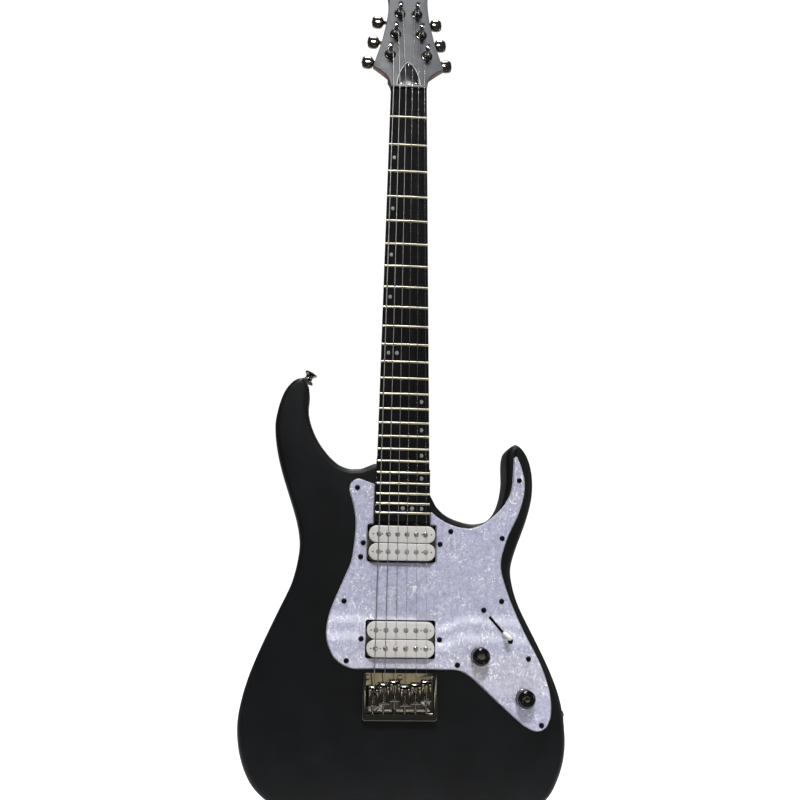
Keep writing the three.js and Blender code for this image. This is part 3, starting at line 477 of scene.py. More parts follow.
class Finish:
    """A material, made of one principled shader and the nodes that drive it."""

    def __init__(self, name, **constants):
        self.material = bpy.data.materials.new(name)
        self.material.use_nodes = True
        self.nodes = self.material.node_tree.nodes
        self.links = self.material.node_tree.links
        self.shader = next(node for node in self.nodes if node.type == "BSDF_PRINCIPLED")
        for label, value in constants.items():
            self.set(label.replace("_", " "), value)
        coordinates = self.node("ShaderNodeTexCoord", {}, {}, "Object")
        scaled = {"operation": "SCALE"}
        self.place = self.node("ShaderNodeVectorMath", scaled, {0: coordinates, "Scale": 1 / MM})

    def set(self, label, value):
        socket = self.shader.inputs[label]
        if isinstance(value, Value):
            self.links.new(value.socket, socket)
        else:
            socket.default_value = value

    def node(self, kind, settings, inputs, output=0):
        """Any node: its settings first, then the values or links of its sockets."""
        made = self.nodes.new(kind)
        for label, value in settings.items():
            if label == "stops":
                self._stops(made.color_ramp, value)
            else:
                setattr(made, label, value)
        for label, value in inputs.items():
            socket = made.inputs[label]
            if isinstance(value, Value):
                self.links.new(value.socket, socket)
            else:
                socket.default_value = value
        return Value(self, made.outputs[output])

    @staticmethod
    def _stops(ramp, stops):
        while len(ramp.elements) < len(stops):
            ramp.elements.new(0.5)
        for element, (position, colour) in zip(ramp.elements, stops):
            element.position, element.color = position, (*colour, 1.0)

    def noise(self, size, detail=3.0, rough=0.55, stretch=(1, 1, 1), warp=0.0):
        """Soft noise whose features are about size millimetres across."""
        fit = tuple(1 / (size * s) for s in stretch)
        at = self.node("ShaderNodeVectorMath", {"operation": "MULTIPLY"}, {0: self.place, 1: fit})
        inputs = {"Vector": at, "Scale": 1.0, "Detail": detail, "Roughness": rough, "Distortion": warp}
        return self.node("ShaderNodeTexNoise", {}, inputs, "Fac")

    def axis(self, index):
        return self.node("ShaderNodeSeparateXYZ", {}, {0: self.place}, index)

    def colours(self, factor, first, second):
        """Two colours mixed by a factor. A colour is three numbers or a link."""
        inputs = {0: factor}
        for index, colour in ((6, first), (7, second)):
            inputs[index] = colour if isinstance(colour, Value) else (*colour, 1.0)
        return self.node("ShaderNodeMix", {"data_type": "RGBA"}, inputs, 2)

    def ramp(self, value, *stops):
        return self.node("ShaderNodeValToRGB", {"stops": stops}, {0: value})

    def bump(self, height, millimetres, strength=1.0):
        inputs = {"Height": height, "Distance": millimetres * MM, "Strength": strength}
        self.set("Normal", self.node("ShaderNodeBump", {}, inputs))

    def smudges(self, low, high, size=9.0):
        """Roughness that wanders between two values, as handled metal and lacquer do."""
        wander = self.noise(size, 4.0, 0.6).between(0.35, 0.7)
        fine = self.noise(size / 14, 2.0).between(0.3, 0.8)
        return low + (high - low) * (0.75 * wander + 0.25 * fine)


def satin_black_lacquer():
    finish = Finish("satin_black_lacquer", Specular_IOR_Level=0.17)
    cloud = finish.noise(60.0, 3.0).between(0.3, 0.7)
    base = finish.colours(cloud, (0.0034, 0.0038, 0.0045), (0.0056, 0.0062, 0.0072))
    dust = finish.noise(0.8, 1.0).between(0.74, 0.8) * finish.noise(25.0, 2.0).between(0.5, 0.75)
    finish.set("Base Color", finish.colours(dust * 0.35, base, (0.10, 0.10, 0.10)))
    finish.set("Roughness", finish.smudges(0.40, 0.50, 22.0))
    peel = finish.noise(1.6, 2.0) * 0.7 + finish.noise(0.25, 1.0) * 0.3
    finish.bump(peel, 0.02, 0.35)
    return finish.material


def headstock_black():
    finish = Finish("headstock_black", Specular_IOR_Level=0.5)
    grain = finish.noise(1.1, 4.0, 0.6, (1, 1, 14)).between(0.3, 0.75)
    # Painted sheen: the headstock carries the body's satin black paint, its base colour lifted about eight times
    # above the body lacquer's to stand in for the light its tilted face catches. The grain streaks between the
    # two tones are real.
    finish.set("Base Color", finish.colours(grain, (0.0265, 0.0300, 0.0375), (0.0420, 0.0475, 0.0580)))
    finish.set("Roughness", finish.smudges(0.46, 0.56, 18.0))
    finish.bump(finish.noise(1.4, 2.0) * 0.6 + grain * 0.2, 0.02, 0.4)
    return finish.material


def wood_grain(name, dark, middle_tone, pale):
    finish = Finish(name, Specular_IOR_Level=0.45)
    sway = finish.noise(70.0, 2.0, 0.5, (1, 1, 3))
    rings = (finish.noise(3.0, 5.0, 0.62, (1, 1, 22), 0.6) * 0.75 + sway * 0.5).clear()
    figure = finish.noise(9.0, 3.0, 0.5, (1, 1, 0.35)).between(0.35, 0.7)
    tone = finish.ramp(rings, (0.36, dark), (0.55, middle_tone), (0.78, pale))
    pores = finish.noise(0.35, 2.0, 0.5, (1, 1, 26)).between(0.66, 0.74)
    streaked = finish.colours(pores * 0.45, tone, tuple(c * 0.45 for c in dark))
    finish.set("Base Color", finish.colours(figure * 0.16, streaked, pale))
    finish.set("Roughness", 0.36 + 0.10 * finish.noise(6.0).between(0.3, 0.7))
    finish.bump(1 - pores * 0.7 + rings * 0.2, 0.03, 0.4)
    return finish.material


def dark_board():
    finish = Finish("oiled_dark_board", Specular_IOR_Level=0.04)
    streak = finish.noise(2.2, 4.0, 0.6, (1, 1, 18), 0.4).between(0.32, 0.72)
    tone = finish.colours(streak, (0.0042, 0.0042, 0.0049), (0.0098, 0.0096, 0.0106))
    pores = finish.noise(0.3, 2.0, 0.5, (1, 1, 22)).between(0.6, 0.7)
    finish.set("Base Color", finish.colours(pores * 0.7, tone, (0.0027, 0.0027, 0.0030)))
    finish.set("Roughness", finish.smudges(0.55, 0.68, 14.0))
    finish.bump(1 - pores, 0.05, 0.5)
    return finish.material


def metal(name, colour, low, high, size=9.0, scratch=0.0, along=(1, 1, 1)):
    """Plated or bare metal, its shine broken by handling marks and fine lines."""
    finish = Finish(name, Metallic=1.0)
    cloud = finish.noise(size * 2, 3.0).between(0.3, 0.7)
    tarnish = tuple(c * 0.82 for c in colour)
    finish.set("Base Color", finish.colours(cloud, colour, tarnish))
    lines = finish.noise(0.18, 2.0, 0.5, along).between(0.4, 0.7)
    finish.set("Roughness", finish.smudges(low, high, size) + lines * scratch)
    finish.bump(lines * 0.5 + finish.noise(2.5, 2.0) * 0.5, 0.008, 0.25 + scratch)
    return finish.material


def moulded(name, colour, low, high, grain=0.4, size=12.0, depth=0.02, shine=0.5):
    """Moulded plastic with a faint texture and patches yellowed at random."""
    finish = Finish(name, Specular_IOR_Level=shine)
    cloud = finish.noise(size, 3.0).between(0.3, 0.75)
    aged = (colour[0] * 0.95, colour[1] * 0.93, colour[2] * 0.88)
    finish.set("Base Color", finish.colours(cloud, colour, aged))
    finish.set("Roughness", finish.smudges(low, high, size / 2))
    finish.bump(finish.noise(grain, 2.0) * 0.5 + finish.noise(5.0, 2.0), depth, 0.3)
    return finish.material


def pearl(front, ply):
    """White pearl sheet on a black and a white ply, told apart by depth behind the face."""
    finish = Finish("pearl_guard", Specular_IOR_Level=0.5)
    drift = {"Vector": finish.place, "Scale": 0.11, "Detail": 3.0, "Roughness": 0.6}
    drift = finish.node("ShaderNodeTexNoise", {}, drift, "Color")
    push = finish.node("ShaderNodeVectorMath", {"operation": "SCALE"}, {0: drift, "Scale": 26.0})
    bent = finish.node("ShaderNodeVectorMath", {"operation": "ADD"}, {0: finish.place, 1: push})
    cells = finish.node("ShaderNodeTexVoronoi", {"feature": "F1"}, {"Vector": bent, "Scale": 0.24}, "Color")
    tint = finish.node("ShaderNodeSeparateColor", {}, {0: cells}, 0)
    swirl = finish.noise(7.0, 4.0, 0.6, (1, 1, 1), 2.2).between(0.28, 0.72)
    tone = finish.ramp(
        (0.38 * tint + 0.62 * swirl).clear(),
        (0.10, (0.400, 0.402, 0.550)),
        (0.45, (0.500, 0.502, 0.660)),
        (0.80, (0.600, 0.605, 0.760)),
    )
    fleck = finish.noise(4.8, 3.0, 0.62, (1, 1, 1.5), 2.4).between(0.55, 0.63)
    patch = finish.noise(15.0, 2.0, 0.5).between(0.38, 0.56)
    face = finish.colours(fleck * (0.15 + 0.85 * patch), tone, (0.97, 0.98, 1.0))
    depth, black_ply = finish.axis(1) - front, 0.5
    under = finish.colours(depth > ply + black_ply, (0.010, 0.010, 0.011), (0.72, 0.72, 0.74))
    finish.set("Base Color", finish.colours(depth > ply, face, under))
    finish.set("Roughness", finish.smudges(0.035, 0.055, 20.0) + 0.2 * (depth > ply))
    across, along = finish.axis(0) - 36.0, finish.axis(2) + 600.0
    dip = (1 - across * across * 0.0016).clear() * along
    waves, sag = finish.noise(60.0, 1.0) * 0.04, dip * 0.006
    finish.bump(waves + swirl * 0.002 - sag, 1.0)
    return finish.material


def wound_wire(number, pitch):
    """Round wire wound on a core: fine ridges along the string."""
    finish = Finish(f"wound_string_{number}", Metallic=1.0)
    colour = (0.50, 0.49, 0.46)
    ridge = (finish.axis(2) * (TURN / pitch)).sine() * 0.5 + 0.5
    dull = finish.noise(30.0, 2.0, 0.5, (1, 1, 4)).between(0.3, 0.7)
    # Painted shade: the wire's colour falls to 60 % in the grooves between wraps, where the ridge wave is low.
    shade = finish.colours(ridge, tuple(c * 0.6 for c in colour), colour)
    finish.set("Base Color", finish.colours(dull * 0.3, shade, tuple(c * 0.7 for c in colour)))
    finish.set("Roughness", 0.34 + 0.12 * dull)
    finish.bump(ridge, pitch * 0.2, 0.3)
    return finish.material


def wrapped_tape():
    finish = Finish("coil_tape", Specular_IOR_Level=0.4)
    laps = (finish.axis(1) * (TURN / 3.2) + finish.axis(0) * 0.08).sine() * 0.5 + 0.5
    cloth = finish.noise(0.3, 2.0)
    finish.set("Base Color", finish.colours(cloth, (0.008, 0.008, 0.008), (0.028, 0.027, 0.026)))
    finish.set("Roughness", 0.5 + 0.2 * cloth)
    finish.bump(laps.between(0.8, 1.0) * 0.7 + cloth * 0.3, 0.12, 0.6)
    return finish.material


def felt():
    finish = Finish("black_felt", Sheen_Weight=0.4, Specular_IOR_Level=0.2)
    fibre = finish.noise(0.22, 4.0, 0.7, (1, 1, 1), 1.5)
    finish.set("Base Color", finish.colours(fibre, (0.006, 0.006, 0.006), (0.03, 0.03, 0.03)))
    finish.set("Roughness", 0.8 + 0.15 * fibre)
    finish.bump(fibre, 0.2, 0.8)
    return finish.material


guard_low, guard_high = extent("pickguard")
guard_front, guard_back = guard_low.y, guard_high.y
PLY = (guard_back - guard_front) / 3

LACQUER = satin_black_lacquer()
HEAD_BLACK = headstock_black()
# Neck wood tones set about half as bright as pale maple: partly the wood's own dark tone, partly painted shade
# for the neck's sides and the wing undersides, which face away from the light.
NECK_WOOD = wood_grain("satin_neck_wood", (0.060, 0.028, 0.017), (0.105, 0.050, 0.030), (0.160, 0.082, 0.050))
BOARD = dark_board()
PEARL = pearl(guard_front, PLY)
BLACK_CHROME = metal("black_chrome", (0.15, 0.14, 0.125), 0.07, 0.15, 7.0)
BRIDGE_CHROME = metal("dark_bridge_chrome", (0.13, 0.122, 0.108), 0.06, 0.12, 7.0)
CHROME = metal("polished_chrome", (0.55, 0.55, 0.56), 0.05, 0.12, 6.0)
KNOB_NICKEL = metal("black_nickel", (0.05, 0.046, 0.045), 0.06, 0.13, 5.0)
FRET_SILVER = metal("fret_silver", (0.52, 0.48, 0.37), 0.30, 0.38, 6.0, 0.0, (10, 1, 1))
STEEL = metal("zinc_plated_steel", (0.46, 0.45, 0.42), 0.22, 0.36, 4.0, 0.08)
ALLOY = metal("turned_alloy", (0.52, 0.51, 0.48), 0.24, 0.34, 4.0, 0.06)
POLE_STEEL = metal("pole_steel", (0.46, 0.44, 0.40), 0.24, 0.34, 2.5, 0.05)
SLUG_STEEL = metal("slug_steel", (0.44, 0.43, 0.41), 0.5, 0.62, 2.5, 0.05)
NICKEL_SILVER = metal("nickel_silver", (0.15, 0.14, 0.11), 0.34, 0.46, 8.0, 0.06, (8, 1, 1))
MAGNET = metal("ground_magnet", (0.10, 0.098, 0.094), 0.4, 0.55, 3.0, 0.1, (8, 1, 1))
SCREW_BLACK = moulded("blackened_steel", (0.005, 0.005, 0.008), 0.4, 0.55, 0.3, 4.0, 0.01, 0.12)
PLAIN_STRING = metal("plain_string_steel", (0.62, 0.60, 0.57), 0.18, 0.28, 8.0, 0.04, (1, 1, 12))
WHITE_PLASTIC = moulded("aged_white_plastic", (0.68, 0.665, 0.665), 0.22, 0.34)
TIP_PLASTIC = moulded("white_tip_plastic", (0.80, 0.79, 0.77), 0.24, 0.34)
BLACK_PLASTIC = moulded("black_plastic", (0.008, 0.008, 0.011), 0.12, 0.2)
WHITE_LINE = moulded("white_edge_plastic", (0.66, 0.66, 0.68), 0.3, 0.4)
GRAPHITE = moulded("graphite_nut", (0.012, 0.012, 0.013), 0.36, 0.5, 0.25)
DOT_GREY = moulded("grey_dot", (0.26, 0.28, 0.27), 0.3, 0.42, 0.8, 2.0)
TAPE = wrapped_tape()
FELT = felt()


# ---- Geometry Nodes: wire on a path, and one pattern at many places ----


FLOAT = "NodeSocketFloat"


def new_tree(name, **inputs):
    """A tree with named inputs, a finish last, and the two ends to build between."""
    tree = bpy.data.node_groups.new(name, "GeometryNodeTree")
    tree.interface.new_socket("Geometry", in_out="INPUT", socket_type="NodeSocketGeometry")
    inputs["Finish"] = ("NodeSocketMaterial", None)
    for label, (kind, value) in inputs.items():
        socket = tree.interface.new_socket(label, in_out="INPUT", socket_type=kind)
        if value is not None:
            socket.default_value = value
    tree.interface.new_socket("Geometry", in_out="OUTPUT", socket_type="NodeSocketGeometry")
    return tree, tree.nodes.new("NodeGroupInput"), tree.nodes.new("NodeGroupOutput")


def added(tree, kind, settings=None, **inputs):
    """A node of a tree, its sockets given by name with _ for a space."""
    node = tree.nodes.new(kind)
    for label, value in (settings or {}).items():
        setattr(node, label, value)
    for label, value in inputs.items():
        socket = node.inputs[label.replace("_", " ")]
        if isinstance(value, bpy.types.NodeSocket):
            tree.links.new(value, socket)
        else:
            socket.default_value = value
    return node


def finish_tree(tree, start, end, geometry):
    """Realize Instances, smooth shading and Set Material close every tree."""
    real = added(tree, "GeometryNodeRealizeInstances", Geometry=geometry)
    smooth = added(tree, "GeometryNodeSetShadeSmooth", Geometry=real.outputs[0])
    coated = added(
        tree, "GeometryNodeSetMaterial", Geometry=smooth.outputs[0], Material=start.outputs["Finish"]
    )
    tree.links.new(coated.outputs[0], end.inputs[0])
    return tree


def drawn(tree, start, end, section):
    """The tree closed by a section drawn along every spline of its curve."""
    skin = added(
        tree,
        "GeometryNodeCurveToMesh",
        Curve=start.outputs["Geometry"],
        Profile_Curve=section.outputs[0],
        Fill_Caps=True,
    )
    return finish_tree(tree, start, end, skin.outputs[0])


def wire_tree():
    """Round wire drawn along every spline of a curve."""
    tree, start, end = new_tree("round_wire", Radius=(FLOAT, 0.001), Sides=("NodeSocketInt", 8))
    given = start.outputs
    ring = added(
        tree, "GeometryNodeCurvePrimitiveCircle", Resolution=given["Sides"], Radius=given["Radius"]
    )
    return drawn(tree, start, end, ring)


def bar_tree():
    """Bar of a rounded section drawn along every spline: fret wire."""
    tree, start, end = new_tree(
        "rounded_bar", Width=(FLOAT, 0.0027), Height=(FLOAT, 0.0024), Round=(FLOAT, 0.0011)
    )
    given = start.outputs
    section = added(
        tree, "GeometryNodeCurvePrimitiveQuadrilateral", Width=given["Width"], Height=given["Height"]
    )
    rounded = added(
        tree, "GeometryNodeFilletCurve", Curve=section.outputs[0], Radius=given["Round"]
    )
    return drawn(tree, start, end, rounded)


def pattern_tree():
    """One pattern set at every point, its +Y laid along the point's way."""
    tree, start, end = new_tree(
        "pattern_at_points", Pattern=("NodeSocketObject", None), Size=(FLOAT, 1.0)
    )
    vector = {"data_type": "FLOAT_VECTOR"}
    way = added(tree, "GeometryNodeInputNamedAttribute", vector, Name="way")
    spin = added(tree, "GeometryNodeInputNamedAttribute", vector, Name="spin")
    aim = added(
        tree, "FunctionNodeAlignRotationToVector", {"axis": "Y"}, Vector=way.outputs["Attribute"]
    )
    roll = added(
        tree,
        "FunctionNodeAlignRotationToVector",
        {"axis": "X", "pivot_axis": "Y"},
        Rotation=aim.outputs[0],
        Vector=spin.outputs["Attribute"],
    )
    shape = added(tree, "GeometryNodeObjectInfo", Object=start.outputs["Pattern"])
    copies = added(
        tree,
        "GeometryNodeInstanceOnPoints",
        Points=start.outputs["Geometry"],
        Instance=shape.outputs["Geometry"],
        Rotation=roll.outputs[0],
        Scale=start.outputs["Size"],
    )
    return finish_tree(tree, start, end, copies.outputs[0])


WIRE, BAR, PATTERN = wire_tree(), bar_tree(), pattern_tree()


def grown(host, tree, name, values, crease=34.0):
    """The result of a tree on a host, as a plain piece with no modifier left."""
    modifier = host.modifiers.new("nodes", "NODES")
    modifier.node_group = tree
    for item in tree.interface.items_tree:
        if item.in_out == "INPUT" and item.name in values:
            modifier[item.identifier] = values[item.name]
    bpy.context.view_layer.update()
    graph = bpy.context.evaluated_depsgraph_get()
    mesh = bpy.data.meshes.new_from_object(host.evaluated_get(graph), depsgraph=graph)
    bpy.data.objects.remove(host)
    mesh.set_sharp_from_angle(angle=math.radians(crease))
    return linked(name, mesh)


def wire(name, paths, radius, finish, sides=8, body="guitar", replaces=()):
    """Round wire along paths in millimetres."""
    host = path_host(paths)
    values = {"Radius": radius * MM, "Sides": sides, "Finish": finish}
    return mount(grown(host, WIRE, name, values, 60.0), body, replaces)


def path_host(paths):
    data = bpy.data.curves.new("paths", "CURVE")
    data.dimensions = "3D"
    for path in paths:
        spline = data.splines.new("POLY")
        spline.points.add(len(path) - 1)
        for point, place in zip(spline.points, path):
            point.co = (*(Vector(place) * MM), 1.0)
    data.twist_mode = "Z_UP"
    return linked("paths", data)


def set_out(name, pattern, places, finish, body="guitar"):
    """A form repeated at [place, way, spin], with +Y along the way and +X near the spin."""
    shape = linked("pattern", pattern.mesh("pattern"))
    points = bpy.data.meshes.new("points")
    points.from_pydata([tuple(Vector(place) * MM) for place, _, _ in places], [], [])
    for label, index in (("way", 1), ("spin", 2)):
        layer = points.attributes.new(label, "FLOAT_VECTOR", "POINT")
        for item, entry in zip(layer.data, places):
            item.vector = Vector(entry[index]).normalized()
    values = {"Pattern": shape, "Finish": finish}
    piece = grown(linked("points", points), PATTERN, name, values)
    bpy.data.objects.remove(shape)
    mount(piece, body)


# ---- Screw and pole patterns: +Y points into the work, and the head's top is at -Y ----


def cross_screw(radius, dome, shank, length, sides=20):
    """An oval head with a cross recess, on a plain shank."""
    head = turned(
        [
            (radius * 0.30, -dome),
            (radius * 0.62, -dome * 0.86),
            (radius * 0.88, -dome * 0.42),
            (radius, 0.0),
            (shank, radius - shank * 0.6),
            (shank, length),
            (shank * 0.3, length + shank),
        ],
        sides=sides,
    )
    arm, deep, wide = radius * 0.56, dome * 0.05, radius * 0.13
    across = block((-arm, -dome - 1, -wide), (arm, deep, wide))
    upright = block((-wide, -dome - 1, -arm), (wide, deep, arm))
    return worked(head, across, upright)


def hex_screw(radius, length, socket, sides=16):
    """A grub screw with a six-sided socket."""
    blank = turned(
        [(radius - 0.25, 0.0), (radius, 0.25), (radius, length - 0.4), (radius - 0.4, length)],
        sides=sides,
    )
    return worked(blank, rod(socket, 1.6, (0, -0.5, 0), sides=6))


def pole_screw():
    """A slotted fillister head on a long shank."""
    head = turned(
        [(1.3, -1.25), (2.0, -1.1), (2.42, -0.75), (2.5, -0.4), (2.5, 0.0), (1.4, 0.1), (1.4, 16.0)],
        sides=20,
    )
    return worked(head, block((-3, -2.5, -0.38), (3, -0.5, 0.38)))


def pole_slug():
    return turned(
        [(2.0, -0.25), (2.3, -0.18), (2.42, 0.0), (2.42, 12.0), (2.2, 12.2)], sides=20
    )


# ---- Body ----


def make_body():
    low, high = extent("body")
    face, back = low.y, high.y
    edge = 6.0
    outline = fair(cad_loops("body", back - edge)[0])
    blank = plate(outline, face, back, edge, edge, 8)
    board_low, board_high = extent("fretboard")
    pocket_floor = extent("neck")[1].y + GAP
    board_end, half = board_low.z, board_high.x + GAP
    pocket = plate(
        [(-half - 0.1, board_end - GAP), (half + 0.1, board_end - GAP),
         (half - 0.9, board_end + 75), (-half + 0.9, board_end + 75)],
        face - 1, pocket_floor,
    )
    tools = [pocket]
    for name in ("neck", "bridge"):
        centre = middle(f"{name}_pickup_baseplate")
        window = rounded_rectangle(88.8, 38.2, 5, 0, centre.z)
        tools.append(plate(window, face - 1, face + 19))
    room = []
    for name, radius in (("switch_frame", 19.0), ("volume_pot", 15.0), ("tone_pot", 15.0)):
        centre = middle(name)
        room += circle(radius, centre.x, centre.z, 32)
    tools.append(plate(hull(room), face - 1, face + 36))
    jack = middle("jack_socket")
    jack_low, jack_high = extent("jack_plate")
    tools.append(rod(9, 40, (jack_high.x - 38, jack.y, jack.z), (1, 0, 0)))
    tools.append(
        block(
            (jack_low.x - GAP, jack_low.y - GAP, jack_low.z - GAP),
            (jack_high.x + 8, jack_high.y + GAP, jack_high.z + GAP),
        )
    )
    for number in range(1, 7):
        hole = string_hole(number)
        tools.append(rod(2.0, back - face + 2, (hole[0], face - 1, hole[1]), sides=16))
        tools.append(rod(4.6, 5.0, (hole[0], back - 4.0, hole[1]), sides=20))
    tools.append(rod(8, 20, strap_foot("strap_button_upper") - HORN_AXIS * 0.3, HORN_AXIS, 28))
    tools.append(rod(8, 20, strap_foot("strap_button_lower") + Vector((0, 0, 0.3)), (0, 0, -1), 28))
    worked(blank, *tools).piece("body_shell", LACQUER, replaces=("body",), crease=28.0)


HORN_AXIS = Vector((0.45, 0, 0.89)).normalized()


def strap_foot(node):
    """Where a strap button's foot stands on the rim."""
    low, high = extent(node)
    if node.endswith("lower"):
        return Vector(((low.x + high.x) / 2, (low.y + high.y) / 2, high.z))
    return (low + high) / 2 - HORN_AXIS * 6.0


def string_hole(number):
    """Across and along place of a string's hole in the bridge plate."""
    spread, behind = 51.94, 20.8
    return ((3.5 - number) / 5 * spread, extent("bridge_plate")[1].z - behind)


# ---- Neck ----

scale_length = 647.7
nut_width, twelfth_width = 41.2, 51.6
board_low, board_high = extent("fretboard")
board_end = board_low.z
board_bottom = board_high.y
BOARD_RADIUS = 355.6
FRET_HEIGHT = 1.2


def neck_width(z):
    return nut_width + (twelfth_width - nut_width) * -z / (scale_length / 2)


def fret_place(number):
    return -scale_length * (1 - 2 ** (-number / 12))


def crown(x):
    """How far the board's face falls away from its middle."""
    return BOARD_RADIUS - math.sqrt(BOARD_RADIUS**2 - x**2)


def eased(t):
    t = min(max(t, 0.0), 1.0)
    return t * t * (3 - 2 * t)


def between(stations, at):
    """Values read from stations by an eased step between neighbours."""
    for (a, *first), (b, *second) in zip(stations, stations[1:]):
        if at >= b:
            t = eased((a - at) / (a - b))
            return [p + (q - p) * t for p, q in zip(first, second)]
    return list(stations[-1][1:])


def neck_ring(z, half, top, depth, power, steps=26):
    ring = []
    for k in range(steps + 1):
        angle = math.pi * k / steps
        x = math.copysign(abs(math.cos(angle)) ** (2 / power), math.cos(angle)) * half
        ring.append((x, top + abs(math.sin(angle)) ** (2 / power) * depth, z))
    return ring


HEAD_TILT = math.radians(10)
nut_low, nut_high = extent("nut")
neck_top = board_bottom + GAP
HEAD_FACE = 7.4
HEAD_THICK = 14.5
head_space = Matrix.Translation((0, HEAD_FACE, 0)) @ Matrix.Rotation(-HEAD_TILT, 4, "X")


def head_outline():
    throat = nut_width / 2
    wing = throat + 20.8
    side = [
        (throat - 1.6, -6), (throat - 1.2, -1), (throat - 0.1, 3), (throat + 0.3, 7), (throat + 1.2, 12),
        (throat + 2.4, 16), (throat + 4.2, 20), (throat + 6.8, 23.5), (throat + 10, 26.5),
        (wing - 6.5, 29.9), (wing - 2, 32.4),
    ]
    upper = [
        (wing, 34.6), (wing - 2.6, 43.5), (wing - 5.4, 54), (wing - 9.8, 71), (wing - 13.4, 90),
        (wing - 16, 106), (wing - 17.6, 122), (wing - 18, 140), (wing - 16, 156), (wing - 13.6, 168),
        (wing - 14.6, 174), (wing - 24, 181), (wing - 34, 184.6),
    ]
    half = side + upper
    return fair(half + [(-x, z) for x, z in reversed(half)], 3, 40.0)


def make_neck():
    heel_depth = extent("neck")[1].y - neck_top
    heel = board_end + 62
    stations = [
        (2.0, 13.0, 2.2), (0.0, 13.3, 2.2), (-60, 13.7, 2.2), (heel / 2, 14.5, 2.2), (heel + 30, 15.5, 2.2),
        (heel + 16, 16.1, 2.8), (heel + 5, heel_depth - 1.2, 6), (heel - 4, heel_depth, 20),
        (board_end, heel_depth, 24),
    ]
    marks = [2.0] + [-12.0 * k for k in range(0, 34)] + [
        heel + 30, heel + 26, heel + 22, heel + 18, heel + 14, heel + 10, heel + 7, heel + 4, heel + 1,
        heel - 2, heel - 4, heel - 20, board_end + 0.6, board_end,
    ]
    marks = sorted({round(m, 2) for m in marks if m >= board_end}, reverse=True)
    rings = []
    for z in marks:
        depth, power = between(stations, z)
        half = neck_width(z) / 2 - (0.9 if z == board_end else 0.5)
        rings.append(neck_ring(z, half, neck_top, depth, power))
    shaft = loft(rings)
    head = plate(head_outline(), 0, HEAD_THICK, 1.0, 1.6, 4).placed(head_space)
    trim = block((-60, -40, -90), (60, neck_top, 2.0))
    ramp = [(16.0, 28.0), (2.0, -4.0), (2.0, -20.0), (16.0, -20.0)]
    taper = loft([[(x, y, z) for y, z in ramp] for x in (-26, 26)]).placed(head_space)
    head = worked(head, trim, taper)
    for side in (-1, 1):
        inner, outer = nut_width / 2 + 3.0, nut_width / 2 + 30.0
        slant = [(5.5, 0.0), (19.0, 14.0), (19.0, -30.0), (5.5, -30.0)]
        wedge = [[(side * x, y, z + lift) for y, z in slant] for x, lift in ((inner, 18.6), (outer, 42.4))]
        head = worked(head, loft(wedge).placed(head_space))
    throat = []
    for z, front, depth, power in (
        (-18, neck_top + 0.02, 13.2, 2.2), (-8, neck_top + 0.02, 14.0, 2.25), (0, neck_top + 0.4, 15.2, 2.3),
        (6, HEAD_FACE + 1.35, 15.6, 2.45), (12, HEAD_FACE + 2.4, 15.0, 2.7), (18, HEAD_FACE + 3.5, 14.2, 3.0),
        (26, HEAD_FACE + 4.9, 13.2, 3.2),
    ):
        throat.append(neck_ring(z, nut_width / 2 - 0.6, front, depth, power))
    rod_way = block((-3.3, neck_top - 2, board_end + 20), (3.3, board_bottom + 6.6 + 3.3, 32))
    recess = block((-7, 1.4, 5), (7, board_bottom + 11.1, 32), 0.8)
    solid = worked(shaft, head, loft(throat), operation="UNION")
    solid = worked(solid, rod_way, recess, *[
        rod(5.0, HEAD_THICK + 2, head_space @ Vector((x, -1, h)), POST_AXIS)
        for x, h in posts.values()
    ])
    piece = solid.piece("neck_wood", NECK_WOOD, replaces=("neck",), crease=30.0)
    piece.data.materials.append(HEAD_BLACK)
    inverse = head_space.inverted()
    for face in piece.data.polygons:
        centre = inverse @ (face.center / MM)
        if centre.y < 1.2 and centre.z > 2:
            face.material_index = 1


POST_AXIS = Vector(joints["tuner_post_6_turn"]["axis"])
posts = {}
for number in range(1, 7):
    local = head_space.inverted() @ joint_place(f"tuner_post_{number}_turn")
    posts[number] = (local.x, local.z)


